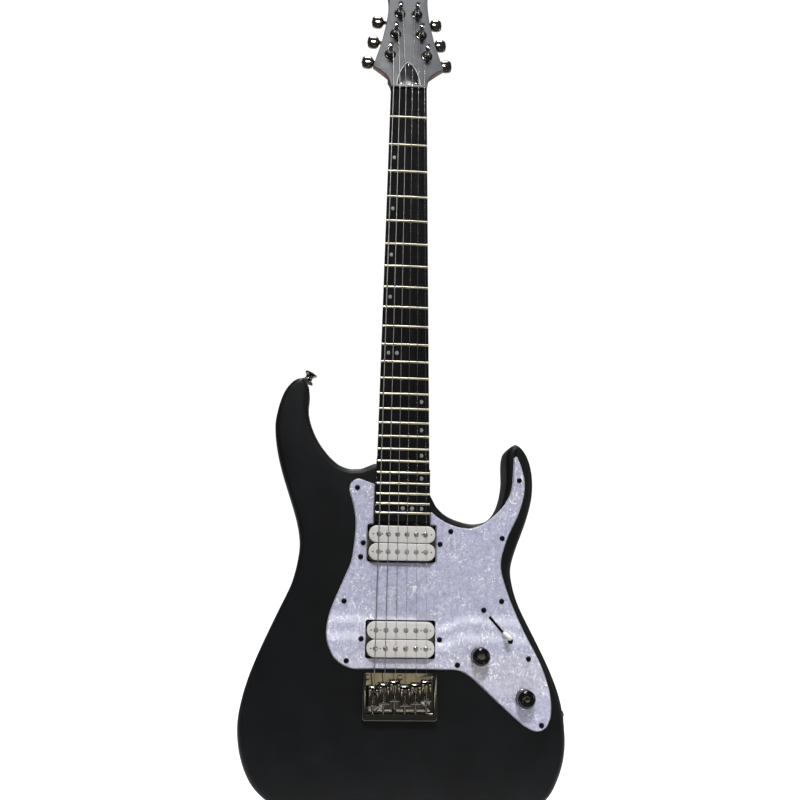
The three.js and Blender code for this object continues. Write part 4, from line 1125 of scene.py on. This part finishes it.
def make_board():
    """The crowned board with eased edges, and its dots."""
    top = FRET_HEIGHT
    rings = []
    stations = [0.0, board_end / 2, board_end + 0.4, board_end]
    for index, z in enumerate(stations):
        half = neck_width(z) / 2 - (0.35 if index == 3 else 0)
        sink = 0.35 if index == 3 else 0.0
        ring = []
        for k in range(33):
            x = half * (1 - k / 16)
            edge = min(half - abs(x), 0.5)
            drop = 0.45 * (1 - math.sqrt(1 - (1 - edge / 0.5) ** 2))
            ring.append((x, top + crown(x) + drop + sink, z))
        ring += [(-half, board_bottom, z), (half, board_bottom, z)]
        rings.append(ring)
    loft(rings).piece("fretboard_wood", BOARD, replaces=("fretboard",), crease=40.0)

    paths = []
    for number in range(1, 25):
        z = fret_place(number)
        half = neck_width(z) / 2 - 0.35
        lean = [half * (k / 12 - 1) for k in range(25)]
        paths.append([(x, top + crown(x), z) for x in lean])
    values = {"Width": 2.2 * MM, "Height": 2.7 * MM, "Round": 1.05 * MM, "Finish": FRET_SILVER}
    mount(grown(path_host(paths), BAR, "fret_wires", values, 50.0))

    dot = turned([(0.4, -0.12), (1.8, -0.12), (2.15, -0.06), (2.25, 0.6)], sides=24)
    spots = []
    for number in (3, 5, 7, 9, 12, 12.5, 15, 17, 19, 21, 24, 24.3, 24.6):
        fret = int(number)
        z = (fret_place(fret) + fret_place(fret - 1)) / 2
        lanes = {3: (-4.5,), 5: (-4.5,), 7: (-4.5,), 9: (-4.5,), 12: (-4.5, -3.5), 24: (0.5, 1.5, 2.5)}
        lane = lanes.get(fret, (1.5,))
        order = {12.5: 1, 24.3: 1, 24.6: 2}.get(number, 0)
        x = string_x(3.5 - lane[order], z) if fret in lanes else string_x(2.0, z)
        x = dot_x(fret, order, z)
        spots.append(((x, top + crown(x), z), (x / BOARD_RADIUS, 1, 0), (1, 0, 0)))
    set_out("board_dots", dot, spots, DOT_GREY)

    speck = turned([(0.3, -0.06), (0.9, -0.06), (1.0, 0.4)], sides=14)
    edges = []
    for fret in (3, 5, 7, 9, 12, 15, 17, 19, 21, 24):
        z = (fret_place(fret) + fret_place(fret - 1)) / 2
        for shift in ((-3, 3) if fret in (12, 24) else (0,)):
            at = z + shift
            edges.append(((-neck_width(at) / 2, board_bottom - 3.2, at), (1, 0, 0), (0, 1, 0)))
    set_out("side_dots", speck, edges, WHITE_LINE)


def string_x(number, z):
    """Across place of a string, 1 on the treble side to 6 on the bass side."""
    spread = 35.7 + (52.5 - 35.7) * -z / scale_length
    return spread * (3.5 - number) / 5


def dot_x(fret, order, z):
    """Inlays sit between the two bass strings, then between the two treble strings."""
    if fret <= 9:
        return string_x(5.5, z)
    if fret == 12:
        return string_x(5.5 - order, z)
    if fret < 24:
        return string_x(1.5, z)
    return string_x(3.5 - order, z)


DIAMETERS = {6: 1.17, 5: 0.91, 4: 0.66, 3: 0.43, 2: 0.33, 1: 0.25}


def string_y(number, z):
    share = -z / scale_length
    action = 0.4 + (3.4 - 0.4) * share
    return crown(string_x(number, z)) - action - DIAMETERS[number] / 2


def make_nut():
    half = nut_high.x
    rows = []
    steps = 240
    for k in range(steps + 1):
        x = half * (2 * k / steps - 1)
        crest = -1.2 + crown(x)
        for number, diameter in DIAMETERS.items():
            away = abs(x - string_x(number, 0))
            groove = diameter / 2 + 0.12
            floor = string_y(number, 0) + diameter / 2 + 0.05
            if away < groove:
                crest = max(crest, floor - groove + math.sqrt(groove**2 - away**2))
        edge = min(half - abs(x), 0.6)
        crest += 0.5 * (1 - math.sqrt(1 - (1 - edge / 0.6) ** 2))
        rows.append(
            [
                (x, board_bottom, nut_low.z), (x, board_bottom, nut_high.z), (x, crest + 1.6, nut_high.z),
                (x, crest + 0.75, nut_high.z - 0.35), (x, crest + 0.25, nut_high.z - 1.1),
                (x, crest, nut_low.z + 1.2), (x, crest, nut_low.z + 0.3), (x, crest + 0.3, nut_low.z),
            ]
        )
    loft(rows).piece("nut_block", GRAPHITE, replaces=("nut",), crease=30.0)


def make_truss_cover():
    top, foot = 40.4, 5.5
    right = []
    for k in range(17):
        t = k / 16
        a, b, c, d = (14, foot), (13.5, 20), (9, 33), (2.2, 40)
        x = a[0] * (1 - t) ** 3 + 3 * b[0] * t * (1 - t) ** 2 + 3 * c[0] * t**2 * (1 - t) + d[0] * t**3
        z = a[1] * (1 - t) ** 3 + 3 * b[1] * t * (1 - t) ** 2 + 3 * c[1] * t**2 * (1 - t) + d[1] * t**3
        right.append((x, z))
    right += [(1.3, 40.7), (0.0, 40.95)]
    arch = right + [(-x, z) for x, z in reversed(right[:-1])]
    base = plate(arch, -1.1, -GAP, 0.0, 0.0).placed(head_space)
    base.piece("cover_white_ply", WHITE_LINE, replaces=("truss_rod_cover",))
    face = plate(inset(arch, 0.75), -1.8, -1.1, 0.35, 0.0, 3).placed(head_space)
    face.piece("cover_black_ply", BLACK_PLASTIC)
    spots = ((0, 36.2), (-8.6, 8.8), (8.6, 8.8))
    screws = [(head_space @ Vector((x, -1.9, h)), POST_AXIS, (1, 0, 0.4)) for x, h in spots]
    set_out("cover_screws", cross_screw(1.7, 0.7, 0.9, 5), screws, CHROME)


# ---- Guard ----


def make_guard():
    loops = cad_loops("pickguard", guard_back)
    outline = spaced(fair(softened(loops[0], 2.0)), 0.12)
    bevel = 1.1
    wall = guard_back - 0.45
    rings = [
        [(x, guard_front, z) for x, z in inset(outline, bevel + 0.1)],
        [(x, guard_front + 0.1, z) for x, z in inset(outline, bevel)],
        [(x, wall, z) for x, z in inset(outline, 0.04)],
        [(x, guard_back, z) for x, z in (outline if area(outline) > 0 else outline[::-1])],
    ]
    tools = [plate(fair(loop, 2), guard_front - 2, guard_back + 2) for loop in loops[1:]]
    worked(loft(rings), *tools).piece("pearl_guard", PEARL, replaces=("pickguard",), crease=24.0)
    screws = [
        (-47.4, 459.6), (-42.4, 531.1), (-58.2, 576.0), (-54.4, 634.8), (58.5, 638.0), (104.4, 574.0),
        (131.8, 631.1), (144.2, 695.9), (124.3, 448.2), (51.2, 503.3), (105.5, 509.4),
    ]
    for name in ("neck", "bridge"):
        z = middle(f"{name}_pickup_baseplate").z
        screws += [(-40.0, -z), (40.0, -z)]
    frame_centre = middle("switch_frame")
    slant = math.radians(48)
    for side in (-1, 1):
        reach = 20.6 * side
        screws.append(
            (frame_centre.x + reach * math.cos(slant), -frame_centre.z + reach * math.sin(slant))
        )
    places = []
    for index, (x, s) in enumerate(screws):
        angle = 0.7 + index * 1.9
        places.append(((x, guard_front - 0.35, -s), (0, 1, 0), (math.cos(angle), 0, math.sin(angle))))
    set_out("guard_screws", cross_screw(2.75, 1.25, 1.4, 0.9), places, SCREW_BLACK)


# ---- Pickups ----


def make_pickup(name):
    body = f"{name}_pickup"
    for kind in ("screw", "slug"):
        node = f"{name}_pickup_{kind}_bobbin"
        low, high = extent(node)
        centre = (low + high) / 2
        length, width = high.x - low.x, high.z - low.z
        outline = rounded_rectangle(length, width, width / 2 - 0.6, 0, centre.z, 10)
        top = plate(outline, low.y, low.y + 2.4, 0.9, 0.3, 4)
        holes = [
            rod(0.75, 4, (x, low.y - 1, centre.z), sides=12)
            for x in (-30.2, 30.2, -20.6, 20.6)
        ]
        poles = [
            rod(2.62, 4, (string_x(number, centre.z) * 0.985, low.y - 1, centre.z), sides=20)
            for number in DIAMETERS
        ]
        foot = plate(outline, high.y - 1.6, high.y, 0.2, 0.2, 2)
        bobbin = worked(top, *holes, *poles)
        (bobbin + foot).piece(f"{name}_{kind}_bobbin_top", WHITE_PLASTIC, body, (node,), 30.0)
        coil = plate(inset(outline, 1.0), low.y + 2.3, high.y - 1.5, 0.0, 0.0)
        coil.piece(f"{name}_{kind}_coil", TAPE, body)
        pattern = pole_screw() if kind == "screw" else pole_slug()
        places = []
        for number in DIAMETERS:
            angle = 0.9 + number * 1.3
            at = (string_x(number, centre.z) * 0.985, low.y + 0.1, centre.z)
            places.append((at, (0, 1, 0), (math.cos(angle), 0, math.sin(angle))))
        set_out(f"{name}_{kind}_poles", pattern, places, POLE_STEEL if kind == "screw" else SLUG_STEEL, body)
    clad(NICKEL_SILVER, f"{name}_pickup_baseplate")
    clad(MAGNET, f"{name}_pickup_magnet")


# ---- Controls ----


def make_knob(name):
    node = f"{name}_knob"
    low, high = extent(node)
    centre = (low + high) / 2
    radius = (high.x - low.x) / 2
    tall = high.y - low.y
    profile = [
        (0.5, 0.55), (2.0, 0.5), (4.6, 0.34), (4.9, 0.46), (5.3, 0.46), (5.6, 0.32), (radius - 2.3, 0.62),
        (radius - 1.3, 1.25), (radius - 0.6, 2.3), (radius - 0.25, 3.6), (radius - 0.2, tall - 3.4),
        (radius - 0.55, tall - 3.2), (radius - 0.55, tall - 2.7), (radius, tall - 2.4),
        (radius, tall - 0.4), (radius - 0.3, tall), (7.4, tall), (7.2, tall - 0.2), (7.2, tall - 4),
        (3.3, tall - 4), (3.3, 5.0),
    ]
    form = turned(profile, (centre.x, low.y, centre.z), sides=48)
    grub = rod(1.1, 4, (centre.x + radius - 1.6, low.y + tall - 6, centre.z), (1, 0, 0), 12)
    worked(form, grub).piece(f"{name}_knob_shell", KNOB_NICKEL, name, (node,), 30.0)
    screw = [((centre.x + radius - 1.2, low.y + tall - 6, centre.z), (-1, 0, 0), (0, 0, 1))]
    set_out(f"{name}_grub_screw", hex_screw(1.0, 4, 0.5), screw, SCREW_BLACK, name)
    clad(ALLOY, f"{name}_shaft")
    clad(STEEL, f"{name}_pot")


def make_switch():
    pivot = joint_place("pickup_switch_tilt")
    axis = Vector(joints["pickup_switch_tilt"]["axis"]).normalized()
    tip = bpy.data.objects["switch_tip"].data
    centre = sum((v.co for v in tip.vertices), Vector()) / len(tip.vertices) / MM
    reach = centre - pivot
    way = (reach - axis * reach.dot(axis)).normalized()
    wide = axis.cross(way).normalized()
    start, end = 22.6, 36.2
    sections = [
        (start, 2.4, 1.9), (start + 0.25, 2.8, 2.2), (start + 1.3, 3.4, 2.6), (start + 3.0, 3.8, 2.85),
        (start + 5.2, 3.75, 2.85), (end - 4, 3.3, 2.55), (end - 2, 2.6, 2.1), (end - 0.9, 2.0, 1.65),
        (end - 0.3, 1.3, 1.1), (end, 0.5, 0.42),
    ]
    rings = []
    for along, a, b in sections:
        rings.append([
            pivot + way * along + wide * (a * math.cos(TURN * k / 24)) + axis * (b * math.sin(TURN * k / 24))
            for k in range(24)
        ])
    loft(rings).piece("switch_tip_cap", TIP_PLASTIC, "switch", ("switch_tip",), 40.0)
    clad(STEEL, "switch_lever", "switch_frame")


# ---- Bridge ----


def make_bridge():
    low, high = extent("bridge_plate")
    centre = (low + high) / 2
    outline = rounded_rectangle(high.x - low.x, high.z - low.z, 3.2, 0, centre.z, 8)
    blank = plate(outline, low.y, high.y, 0.9, 0.2, 4)
    base = 2.2
    inner = high.x - 3.0
    rear = low.z + 6.5
    room = block((-inner, low.y - 3, rear), (inner, high.y - base, high.z + 6), 0.8, 3)
    holes = []
    for number in DIAMETERS:
        x, z = string_hole(number)
        holes.append(rod(1.6, 6, (x, high.y - 4, z), sides=16))
        holes.append(rod(2.3, 12, (string_x(number, rear), low.y + 4.4, low.z - 1), (0, 0, 1), 20))
    plate_form = worked(blank, room, *holes)
    plate_form.piece("bridge_base", BRIDGE_CHROME, replaces=("bridge_plate",), crease=26.0)
    fixings = [
        ((x, high.y - base, z), (0, 1, 0), (0.6, 0, 0.8))
        for x, z in ((-33.2, high.z - 4.4), (33.2, high.z - 4.4), (0, high.z - 4.4))
    ]
    set_out("bridge_fixings", cross_screw(3.0, 0.12, 2.0, 20), fixings, BLACK_CHROME)
    screws = []
    for number in DIAMETERS:
        x = string_x(number, rear)
        screws.append(((x, low.y + 4.4, low.z + 1.4), (0, 0, 1), (0.5, 0.85, 0)))
    pattern = cross_screw(2.1, 0.8, 1.1, 24.0, 14)
    set_out("intonation_screws", pattern, screws, CHROME)
    for number in DIAMETERS:
        make_saddle(number, high.y - base)


def make_saddle(number, floor):
    node = f"saddle_{number}"
    low, high = extent(node)
    centre = (low + high) / 2
    crest = low.y
    tall = 8.0
    half = (high.x - low.x) / 2
    front, rear = high.z, low.z
    side = [
        (crest + 1.1, front), (crest + 0.35, front - 0.35), (crest, front - 1.1), (crest + 0.05, front - 3.4),
        (crest + 2.0, rear + 1.2), (crest + 2.6, rear + 0.3), (crest + 3.4, rear), (crest + tall, rear),
        (crest + tall, front),
    ]
    blank = loft([[(x, y, z) for y, z in side] for x in (centre.x - half, centre.x + half)])
    slot_loop = rounded_rectangle(4.2, front - rear - 6.4, 2.05, centre.x, (front + rear) / 2 - 0.9, 6)
    slot = plate(slot_loop, crest - 2, crest + tall + 2)
    wells = [
        rod(1.35, 12, (centre.x + s * 3.45, crest - 2, front - 3.3), sides=14) for s in (-1, 1)
    ]
    shell = worked(blank, slot, *wells, edge=0.3)
    shell.piece(f"saddle_{number}_block", BRIDGE_CHROME, node, (node,), 24.0)
    screws = [
        ((centre.x + s * 3.45, crest + 0.55, front - 3.3), (0, 1, 0), (0.8, 0, s * 0.6)) for s in (-1, 1)
    ]
    length = floor - 0.2 - (crest + 0.55)
    set_out(f"saddle_{number}_screws", hex_screw(1.2, length, 0.62), screws, CHROME, node)


# ---- Strings ----


def arc_between(a, corner, b, radius, steps=5):
    """A rounded corner on a path."""
    a, corner, b = Vector(a), Vector(corner), Vector(b)
    first, second = (a - corner).normalized(), (b - corner).normalized()
    start, finish = corner + first * radius, corner + second * radius
    return [
        (start * (1 - t) ** 2 + corner * (2 * t * (1 - t)) + finish * t * t)
        for t in (k / steps for k in range(steps + 1))
    ]


WOUND = {number: wound_wire(number, pitch) for number, pitch in ((6, 0.34), (5, 0.28), (4, 0.22))}


def make_string(number):
    diameter = DIAMETERS[number]
    radius = diameter / 2
    finish = WOUND.get(number, PLAIN_STRING)
    saddle_low, saddle_high = extent(f"saddle_{number}")
    front = saddle_high.z
    crest_z = front - 1.3
    hole_x, hole_z = string_hole(number)
    body_back = extent("body")[1].y
    x_post, h_post = posts[number]
    inward = -math.copysign(1.0, x_post)
    waist = 2.3
    lift = -9.6
    leave = head_space @ Vector((x_post + inward * (waist + radius), lift, h_post))
    nut_front = Vector((string_x(number, 0), string_y(number, 0), nut_low.z + 0.4))
    nut_rear = Vector((string_x(number, 0), string_y(number, 0) + 0.15, nut_high.z - 0.5))
    crest = Vector((string_x(number, crest_z), saddle_low.y - radius - 0.02, crest_z))
    entry = Vector((hole_x, 7.2, hole_z))
    tail = Vector((hole_x, body_back - 3.0, hole_z))
    path = [leave + head_space.to_3x3() @ Vector((0, 0, 0.9)), leave, *arc_between(leave, nut_rear, nut_front, 1.2, 4), nut_front]
    for number_of_step in range(1, 8):
        path.append(nut_front.lerp(crest + Vector((0, 0, 1.2)), number_of_step / 8))
    path += arc_between(nut_front, crest, entry, 1.6, 6)
    path += arc_between(crest, entry, tail, 2.0, 5)
    path.append(tail)
    wire(f"string_{number}_wire", [path], radius, finish, 10, replaces=(f"string_{number}",))

    coils = []
    turns = 2.5
    steps = 64
    pitch = diameter + 0.04
    for k in range(steps + 1):
        angle = TURN * turns * k / steps
        r = waist + radius + 0.02
        coils.append(
            head_space
            @ Vector((
                x_post + inward * r * math.cos(angle),
                lift + pitch * angle / TURN,
                h_post + r * math.sin(angle),
            ))
        )
    wire(f"string_{number}_winding", [coils], radius, finish, 8, f"post_{number}")


def make_ferrules():
    back = extent("body")[1].y
    cup = turned(
        [(1.4, 1.0), (2.4, 0.0), (3.9, 0.0), (4.3, 0.35), (4.3, 3.6), (3.4, 3.8), (3.4, 3.0)], sides=28
    )
    cup = turned(
        [(2.2, 1.8), (2.4, -0.1), (2.7, -0.3), (3.9, -0.3), (4.25, 0.05), (4.25, 3.7), (2.2, 3.7)],
        sides=28,
    )
    places = [((string_hole(n)[0], back, string_hole(n)[1]), (0, -1, 0), (1, 0, 0)) for n in DIAMETERS]
    set_out("string_ferrules", cup, places, BLACK_CHROME)
    ball = turned(
        [(0.9, -1.4), (1.9, -1.3), (2.0, -0.9), (1.5, 0.0), (2.0, 0.9), (1.9, 1.3), (0.9, 1.4)],
        sides=18,
    )
    ends = [((string_hole(n)[0], back - 3.0, string_hole(n)[1]), (1, 0, 0), (0, 0, 1)) for n in DIAMETERS]
    set_out("ball_ends", ball, ends, ALLOY)


# ---- Tuners ----

WORM_DEPTH = 7.5
WORM_OFFSET = 5.8


def make_tuner(number):
    x, h = posts[number]
    side = math.copysign(1.0, x)
    back = HEAD_THICK
    worm_y = back + WORM_DEPTH
    shell = rounded_rectangle(16, 17.6, 3.0, x, h + 1.6, 6)
    case = plate(shell, back + GAP, back + GAP + 12.6, 0.3, 2.2, 4)
    room = rod(5.3, 5.2, (x, worm_y - 2.6, h))
    tunnel = rod(2.9, 20, (x - side * 7, worm_y, h + WORM_OFFSET), (side, 0, 0), 20)
    bore = rod(3.3, worm_y + 6, (x, -6, h))
    tube = rod(4.7, back + 3, (x, -1, h))
    lobe = rounded_rectangle(6.4, 8.0, 2.6, x - side * 2.4, h - 9.4, 5)
    ear = plate(lobe, back + GAP, back + GAP + 1.6, 0.2, 0.5, 3)
    washer = turned(
        [(3.4, -1.3), (6.2, -1.3), (6.65, -1.1), (6.8, -0.75), (6.8, -GAP), (3.4, -GAP)], (x, 0, h), sides=36
    )
    nut = worked(
        turned([(4.4, -3.9), (5.4, -3.9), (5.9, -3.5), (5.9, -1.3), (3.5, -1.3)], (x, 0, h), sides=6),
        rod(3.4, 9, (x, -7, h)),
    )
    collar = turned([(3.4, -4.5), (4.2, -4.5), (4.5, -4.2), (4.5, -3.6), (3.4, -3.6)], (x, 0, h), sides=28)
    housing = worked(worked(case, tube, ear, operation="UNION"), room, tunnel, bore)
    whole = gathered([housing, washer, nut, collar]).placed(head_space)
    whole.piece(f"tuner_{number}_housing", BLACK_CHROME, replaces=(f"tuner_case_{number}",), crease=30.0)
    screws = [
        (head_space @ Vector((x - side * 2.4, back + GAP + 1.7, h - 10.6)), -POST_AXIS, (1, 0, 0.5)),
    ]
    set_out(f"tuner_{number}_screw", cross_screw(1.9, 0.7, 1.0, 8, 16), screws, BLACK_CHROME)

    post = turned(
        [
            (1.6, -18.0), (2.5, -17.9), (2.85, -17.6), (3.0, -17.1), (3.0, -12.6), (2.75, -11.6),
            (2.4, -10.9), (2.3, -10.4), (2.3, -7.2), (2.45, -6.4), (2.8, -5.9), (3.0, -5.4), (3.0, worm_y - 1.9),
        ],
        (x, 0, h), sides=32,
    )
    post = worked(post, rod(0.9, 10, (x - 5, -14.6, h), (1, 0, 0), 14), rod(1.0, 3.0, (x, -19, h), sides=16))
    gear = plate(gear_loop(x, h), worm_y - 2.3, worm_y + 2.3)
    foot = rod(2.0, 1.3, (x, worm_y + 2.3, h))
    shaft = gathered([post, gear, foot]).placed(head_space)
    shaft.piece(f"tuner_{number}_post", CHROME, f"post_{number}", (f"tuner_post_{number}",), 28.0)

    z = h + WORM_OFFSET
    sections = [
        (8.7, 2.5, 2.5), (9.2, 2.75, 2.75), (11.0, 2.75, 2.75), (11.6, 2.3, 2.3), (16.8, 2.1, 2.1),
        (17.8, 2.5, 2.5), (18.6, 4.2, 3.2), (19.4, 6.2, 3.9), (20.6, 7.9, 4.3), (22.4, 8.9, 4.5),
        (25.0, 9.2, 4.5), (28.0, 8.9, 4.35), (30.4, 7.8, 3.9), (31.6, 6.4, 3.2), (32.1, 4.6, 2.3),
        (32.3, 1.8, 0.9),
    ]
    rings = []
    for reach, tall, thick in sections:
        ring = []
        for k in range(28):
            angle = TURN * k / 28
            ring.append((x + side * reach, worm_y + thick * math.cos(angle), z + tall * math.sin(angle)))
        rings.append(ring)
    button = loft(rings)
    core = rod(1.05, 15.4, (x - side * 6.6, worm_y, z), (side, 0, 0), 16)
    thread = worm_thread(x, worm_y, z)
    gathered([button, core, thread]).placed(head_space).piece(
        f"tuner_{number}_button", BLACK_CHROME, f"button_{number}", (f"tuner_button_{number}",), 34.0
    )
    cap = [(head_space @ Vector((x + side * 32.4, worm_y, z)), (-side, 0, 0), (0, 0.6, 0.8))]
    cap_head = cross_screw(1.6, 0.35, 0.8, 3, 16)
    set_out(f"tuner_{number}_button_screw", cap_head, cap, CHROME, f"button_{number}")


def gear_loop(x, h):
    module, teeth, share = 0.6, 14, 0.3
    radius = module * teeth / 2
    pitch = TURN / teeth
    half = share / 2 * pitch
    root, tip = radius - 0.65, radius + 0.5
    points = []
    for k in range(teeth):
        angle = math.pi / 2 + k * pitch
        for r, lean in ((root, -1.3), (tip, -0.5), (tip, 0.5), (root, 1.3)):
            points.append((x + r * math.cos(angle + half * lean), h + r * math.sin(angle + half * lean)))
    return points


def worm_thread(x, y, z):
    lead, share = math.pi * 0.6, 0.3
    half = share / 2 * lead
    root, top = 0.9, 2.05
    tooth = [(root, -half), (top, -half * 0.8), (top, half * 0.8), (root, half)]
    rings = []
    steps, turns = 18, 2
    for k in range(steps * turns + 1):
        angle = TURN * k / steps
        along = x - turns * lead / 2 + lead * k / steps
        rings.append([(along + s, y + r * math.sin(angle), z + r * math.cos(angle)) for r, s in tooth])
    return loft(rings)


# ---- Plate, strap buttons and jack ----


def make_neck_plate():
    low, high = extent("neck_plate")
    centre = (low + high) / 2
    outline = rounded_rectangle(high.x - low.x, high.z - low.z, 5, 0, centre.z, 8)
    sheet = plate(outline, low.y, high.y, 0.0, 0.8, 4)
    sheet.piece("neck_plate_sheet", BLACK_CHROME, replaces=("neck_plate",))
    places = []
    for index, (sx, sz) in enumerate(((-1, -1), (1, -1), (-1, 1), (1, 1))):
        at = (sx * 16.2, high.y + 0.15, centre.z + sz * 19.2)
        places.append((at, (0, -1, 0), (math.cos(index), 0, math.sin(index))))
    set_out("neck_screws", cross_screw(4.3, 0.9, 2.3, 30), places, BLACK_CHROME)


def make_strap_button(node, axis):
    axis = Vector(axis)
    foot = strap_foot(node)
    profile = [
        (6.2, 1.3), (6.4, 1.5), (6.3, 2.1), (5.0, 2.9), (4.2, 4.2), (4.0, 5.8), (4.15, 7.2), (5.0, 8.5),
        (6.3, 9.4), (6.9, 10.1), (7.0, 10.7), (6.7, 11.4), (5.9, 11.9), (4.6, 12.0), (3.4, 11.9), (2.6, 11.2),
    ]
    turned(profile, foot, axis, 36).piece(f"{node}_turned", BLACK_CHROME, replaces=(node,))
    washer = turned([(2.5, 0.0), (7.0, 0.0), (7.25, 0.5), (7.0, 1.25), (2.5, 1.25)], foot, axis, 36)
    washer.piece(f"{node}_felt", FELT)
    screw = [(foot + axis * 11.8, -axis, (0.3, 0.95, 0))]
    set_out(f"{node}_screw", cross_screw(3.3, 0.7, 1.8, 26, 20), screw, BLACK_CHROME)


def make_jack():
    low, high = extent("jack_plate")
    centre = (low + high) / 2
    turn = Matrix.Translation((low.x, centre.y, centre.z)) @ Matrix.Rotation(math.pi / 2, 4, "Z")
    outline = rounded_rectangle(high.y - low.y, high.z - low.z, 4, 0, 0, 8)
    sheet = plate(outline, -(high.x - low.x), 0, 0.5, 0.0, 3).placed(turn)
    hole = rod(4.9, 10, (low.x - 4, centre.y, centre.z), (1, 0, 0), 28)
    worked(sheet, hole).piece("jack_plate_sheet", BLACK_CHROME, replaces=("jack_plate",))
    places = []
    for index, (sy, sz) in enumerate(((-1, -1), (1, -1), (-1, 1), (1, 1))):
        at = (high.x + 0.2, centre.y + sy * 10.2, centre.z + sz * 15.0)
        places.append((at, (-1, 0, 0), (0, math.cos(index), math.sin(index))))
    set_out("jack_plate_screws", cross_screw(2.4, 0.9, 1.3, 12, 18), places, BLACK_CHROME)
    end = high.x + 2.6
    barrel = turned(
        [
            (3.25, 0.0), (4.2, 0.0), (4.6, 0.4), (4.6, 20.6), (7.0, 20.8), (7.2, 21.0), (7.2, 21.6),
            (4.7, 21.7), (4.55, 22.2), (4.55, 25.6), (4.2, 26.0), (3.5, 26.0), (3.25, 25.7),
        ],
        (end - 26, centre.y, centre.z), (1, 0, 0), 36,
    )
    bore = rod(3.25, 60, (end - 40, centre.y, centre.z), (1, 0, 0), 36)
    flats = [(5.6, 0.0), (6.6, 0.45), (6.6, 1.7), (6.0, 2.1), (4.8, 2.1)]
    nut = worked(
        turned(flats, (high.x + 0.1, centre.y, centre.z), (1, 0, 0), 6),
        rod(4.65, 60, (end - 40, centre.y, centre.z), (1, 0, 0), 36),
    )
    (worked(barrel, bore) + nut).piece("jack_barrel", STEEL, replaces=("jack_socket",), crease=30.0)


make_body()
make_neck()
make_board()
make_nut()
make_truss_cover()
make_guard()
for pickup in ("neck", "bridge"):
    make_pickup(pickup)
for control in ("volume", "tone"):
    make_knob(control)
make_switch()
make_bridge()
for number in DIAMETERS:
    make_string(number)
    make_tuner(number)
make_ferrules()
make_neck_plate()
make_strap_button("strap_button_upper", HORN_AXIS)
make_strap_button("strap_button_lower", (0, 0, -1))
make_jack()
clad(STEEL, "truss_rod")


# ---- Floor, light and camera ----


def make_stage():
    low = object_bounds()[0].z
    size, ahead = 12.0, 0.12
    sheet = bpy.data.meshes.new("floor")
    sheet.from_pydata(
        [(-size, -ahead, low), (size, -ahead, low), (size, size, low), (-size, size, low)], [], [(0, 1, 2, 3)]
    )
    finish = Finish("pale_floor", Specular_IOR_Level=0.2)
    mottle = finish.noise(400.0, 3.0).between(0.3, 0.7)
    finish.set("Base Color", finish.colours(mottle, (0.93, 0.93, 0.93), (0.91, 0.91, 0.91)))
    finish.set("Roughness", 0.7 + 0.1 * mottle)
    sheet.materials.append(finish.material)
    linked("floor", sheet)


def area_light(name, place, target, size, power, colour=(1, 1, 1)):
    data = bpy.data.lights.new(name, "AREA")
    data.shape, data.size, data.size_y = "RECTANGLE", *size
    data.energy, data.color = power, colour
    lamp = linked(name, data)
    lamp.location = place
    aim = Vector(target) - Vector(place)
    lamp.rotation_euler = aim.to_track_quat("-Z", "Y").to_euler()
    lamp.visible_camera = False


def make_light():
    area_light("overhead", (-0.15, -2.6, 2.2), (0, 0, -0.5), (0.8, 0.6), 105.0)
    area_light("behind", (0.7, 2.4, 1.3), (0, 0, -0.4), (1.6, 1.2), 20.0)
    area_light("side", (1.4, -0.9, -0.35), (0, 0, -0.6), (0.12, 0.5), 3.0)
    area_light("strip_upper", (0.4, -3.0, -0.664), (0.05, 0, -0.6), (1.1, 0.02), 0.72)
    area_light("strip_lower", (0.4, -3.0, -0.732), (0.05, 0, -0.6), (1.1, 0.02), 0.72)
    area_light("low_card", (0.25, -2.0, -0.80), (0, 0, -0.65), (0.9, 0.12), 0.6, (1.0, 0.87, 0.55))
    ceiling = bpy.data.lights.new("ceiling", "SUN")
    ceiling.energy, ceiling.angle = 3.3, math.radians(24)
    linked("ceiling", ceiling)
    world = bpy.data.worlds.new("studio")
    bpy.context.scene.world = world
    world.use_nodes = True
    nodes, links = world.node_tree.nodes, world.node_tree.links
    soft = nodes["Background"]
    soft.inputs["Color"].default_value = (0.93, 0.96, 1.0, 1.0)
    soft.inputs["Strength"].default_value = 0.15
    white = nodes.new("ShaderNodeBackground")
    white.inputs["Color"].default_value = (1.0, 1.0, 1.0, 1.0)
    white.inputs["Strength"].default_value = 1.05
    ray = nodes.new("ShaderNodeLightPath")
    mix = nodes.new("ShaderNodeMixShader")
    links.new(ray.outputs["Is Camera Ray"], mix.inputs[0])
    links.new(soft.outputs[0], mix.inputs[1])
    links.new(white.outputs[0], mix.inputs[2])
    links.new(mix.outputs[0], nodes["World Output"].inputs[0])


def make_camera():
    data = bpy.data.cameras.new("camera")
    data.sensor_width, data.lens = 36.0, 41.85
    data.clip_start, data.clip_end = 0.05, 50.0
    camera = linked("camera", data)
    across = Vector((0.99690783, -0.07703485, 0.01550493))
    down = Vector((0.03110759, 0.2056952, -0.97812157))
    ahead = Vector((0.07216016, 0.97557938, 0.20745552))
    place = Vector((-76.158, -965.324, -571.448)) * MM
    turn = Matrix((across, -down, -ahead)).transposed().to_4x4()
    camera.matrix_world = Matrix.Translation(place) @ turn
    bpy.context.scene.camera = camera


make_stage()
make_light()
make_camera()
bpy.context.scene.view_settings.view_transform = "Standard"
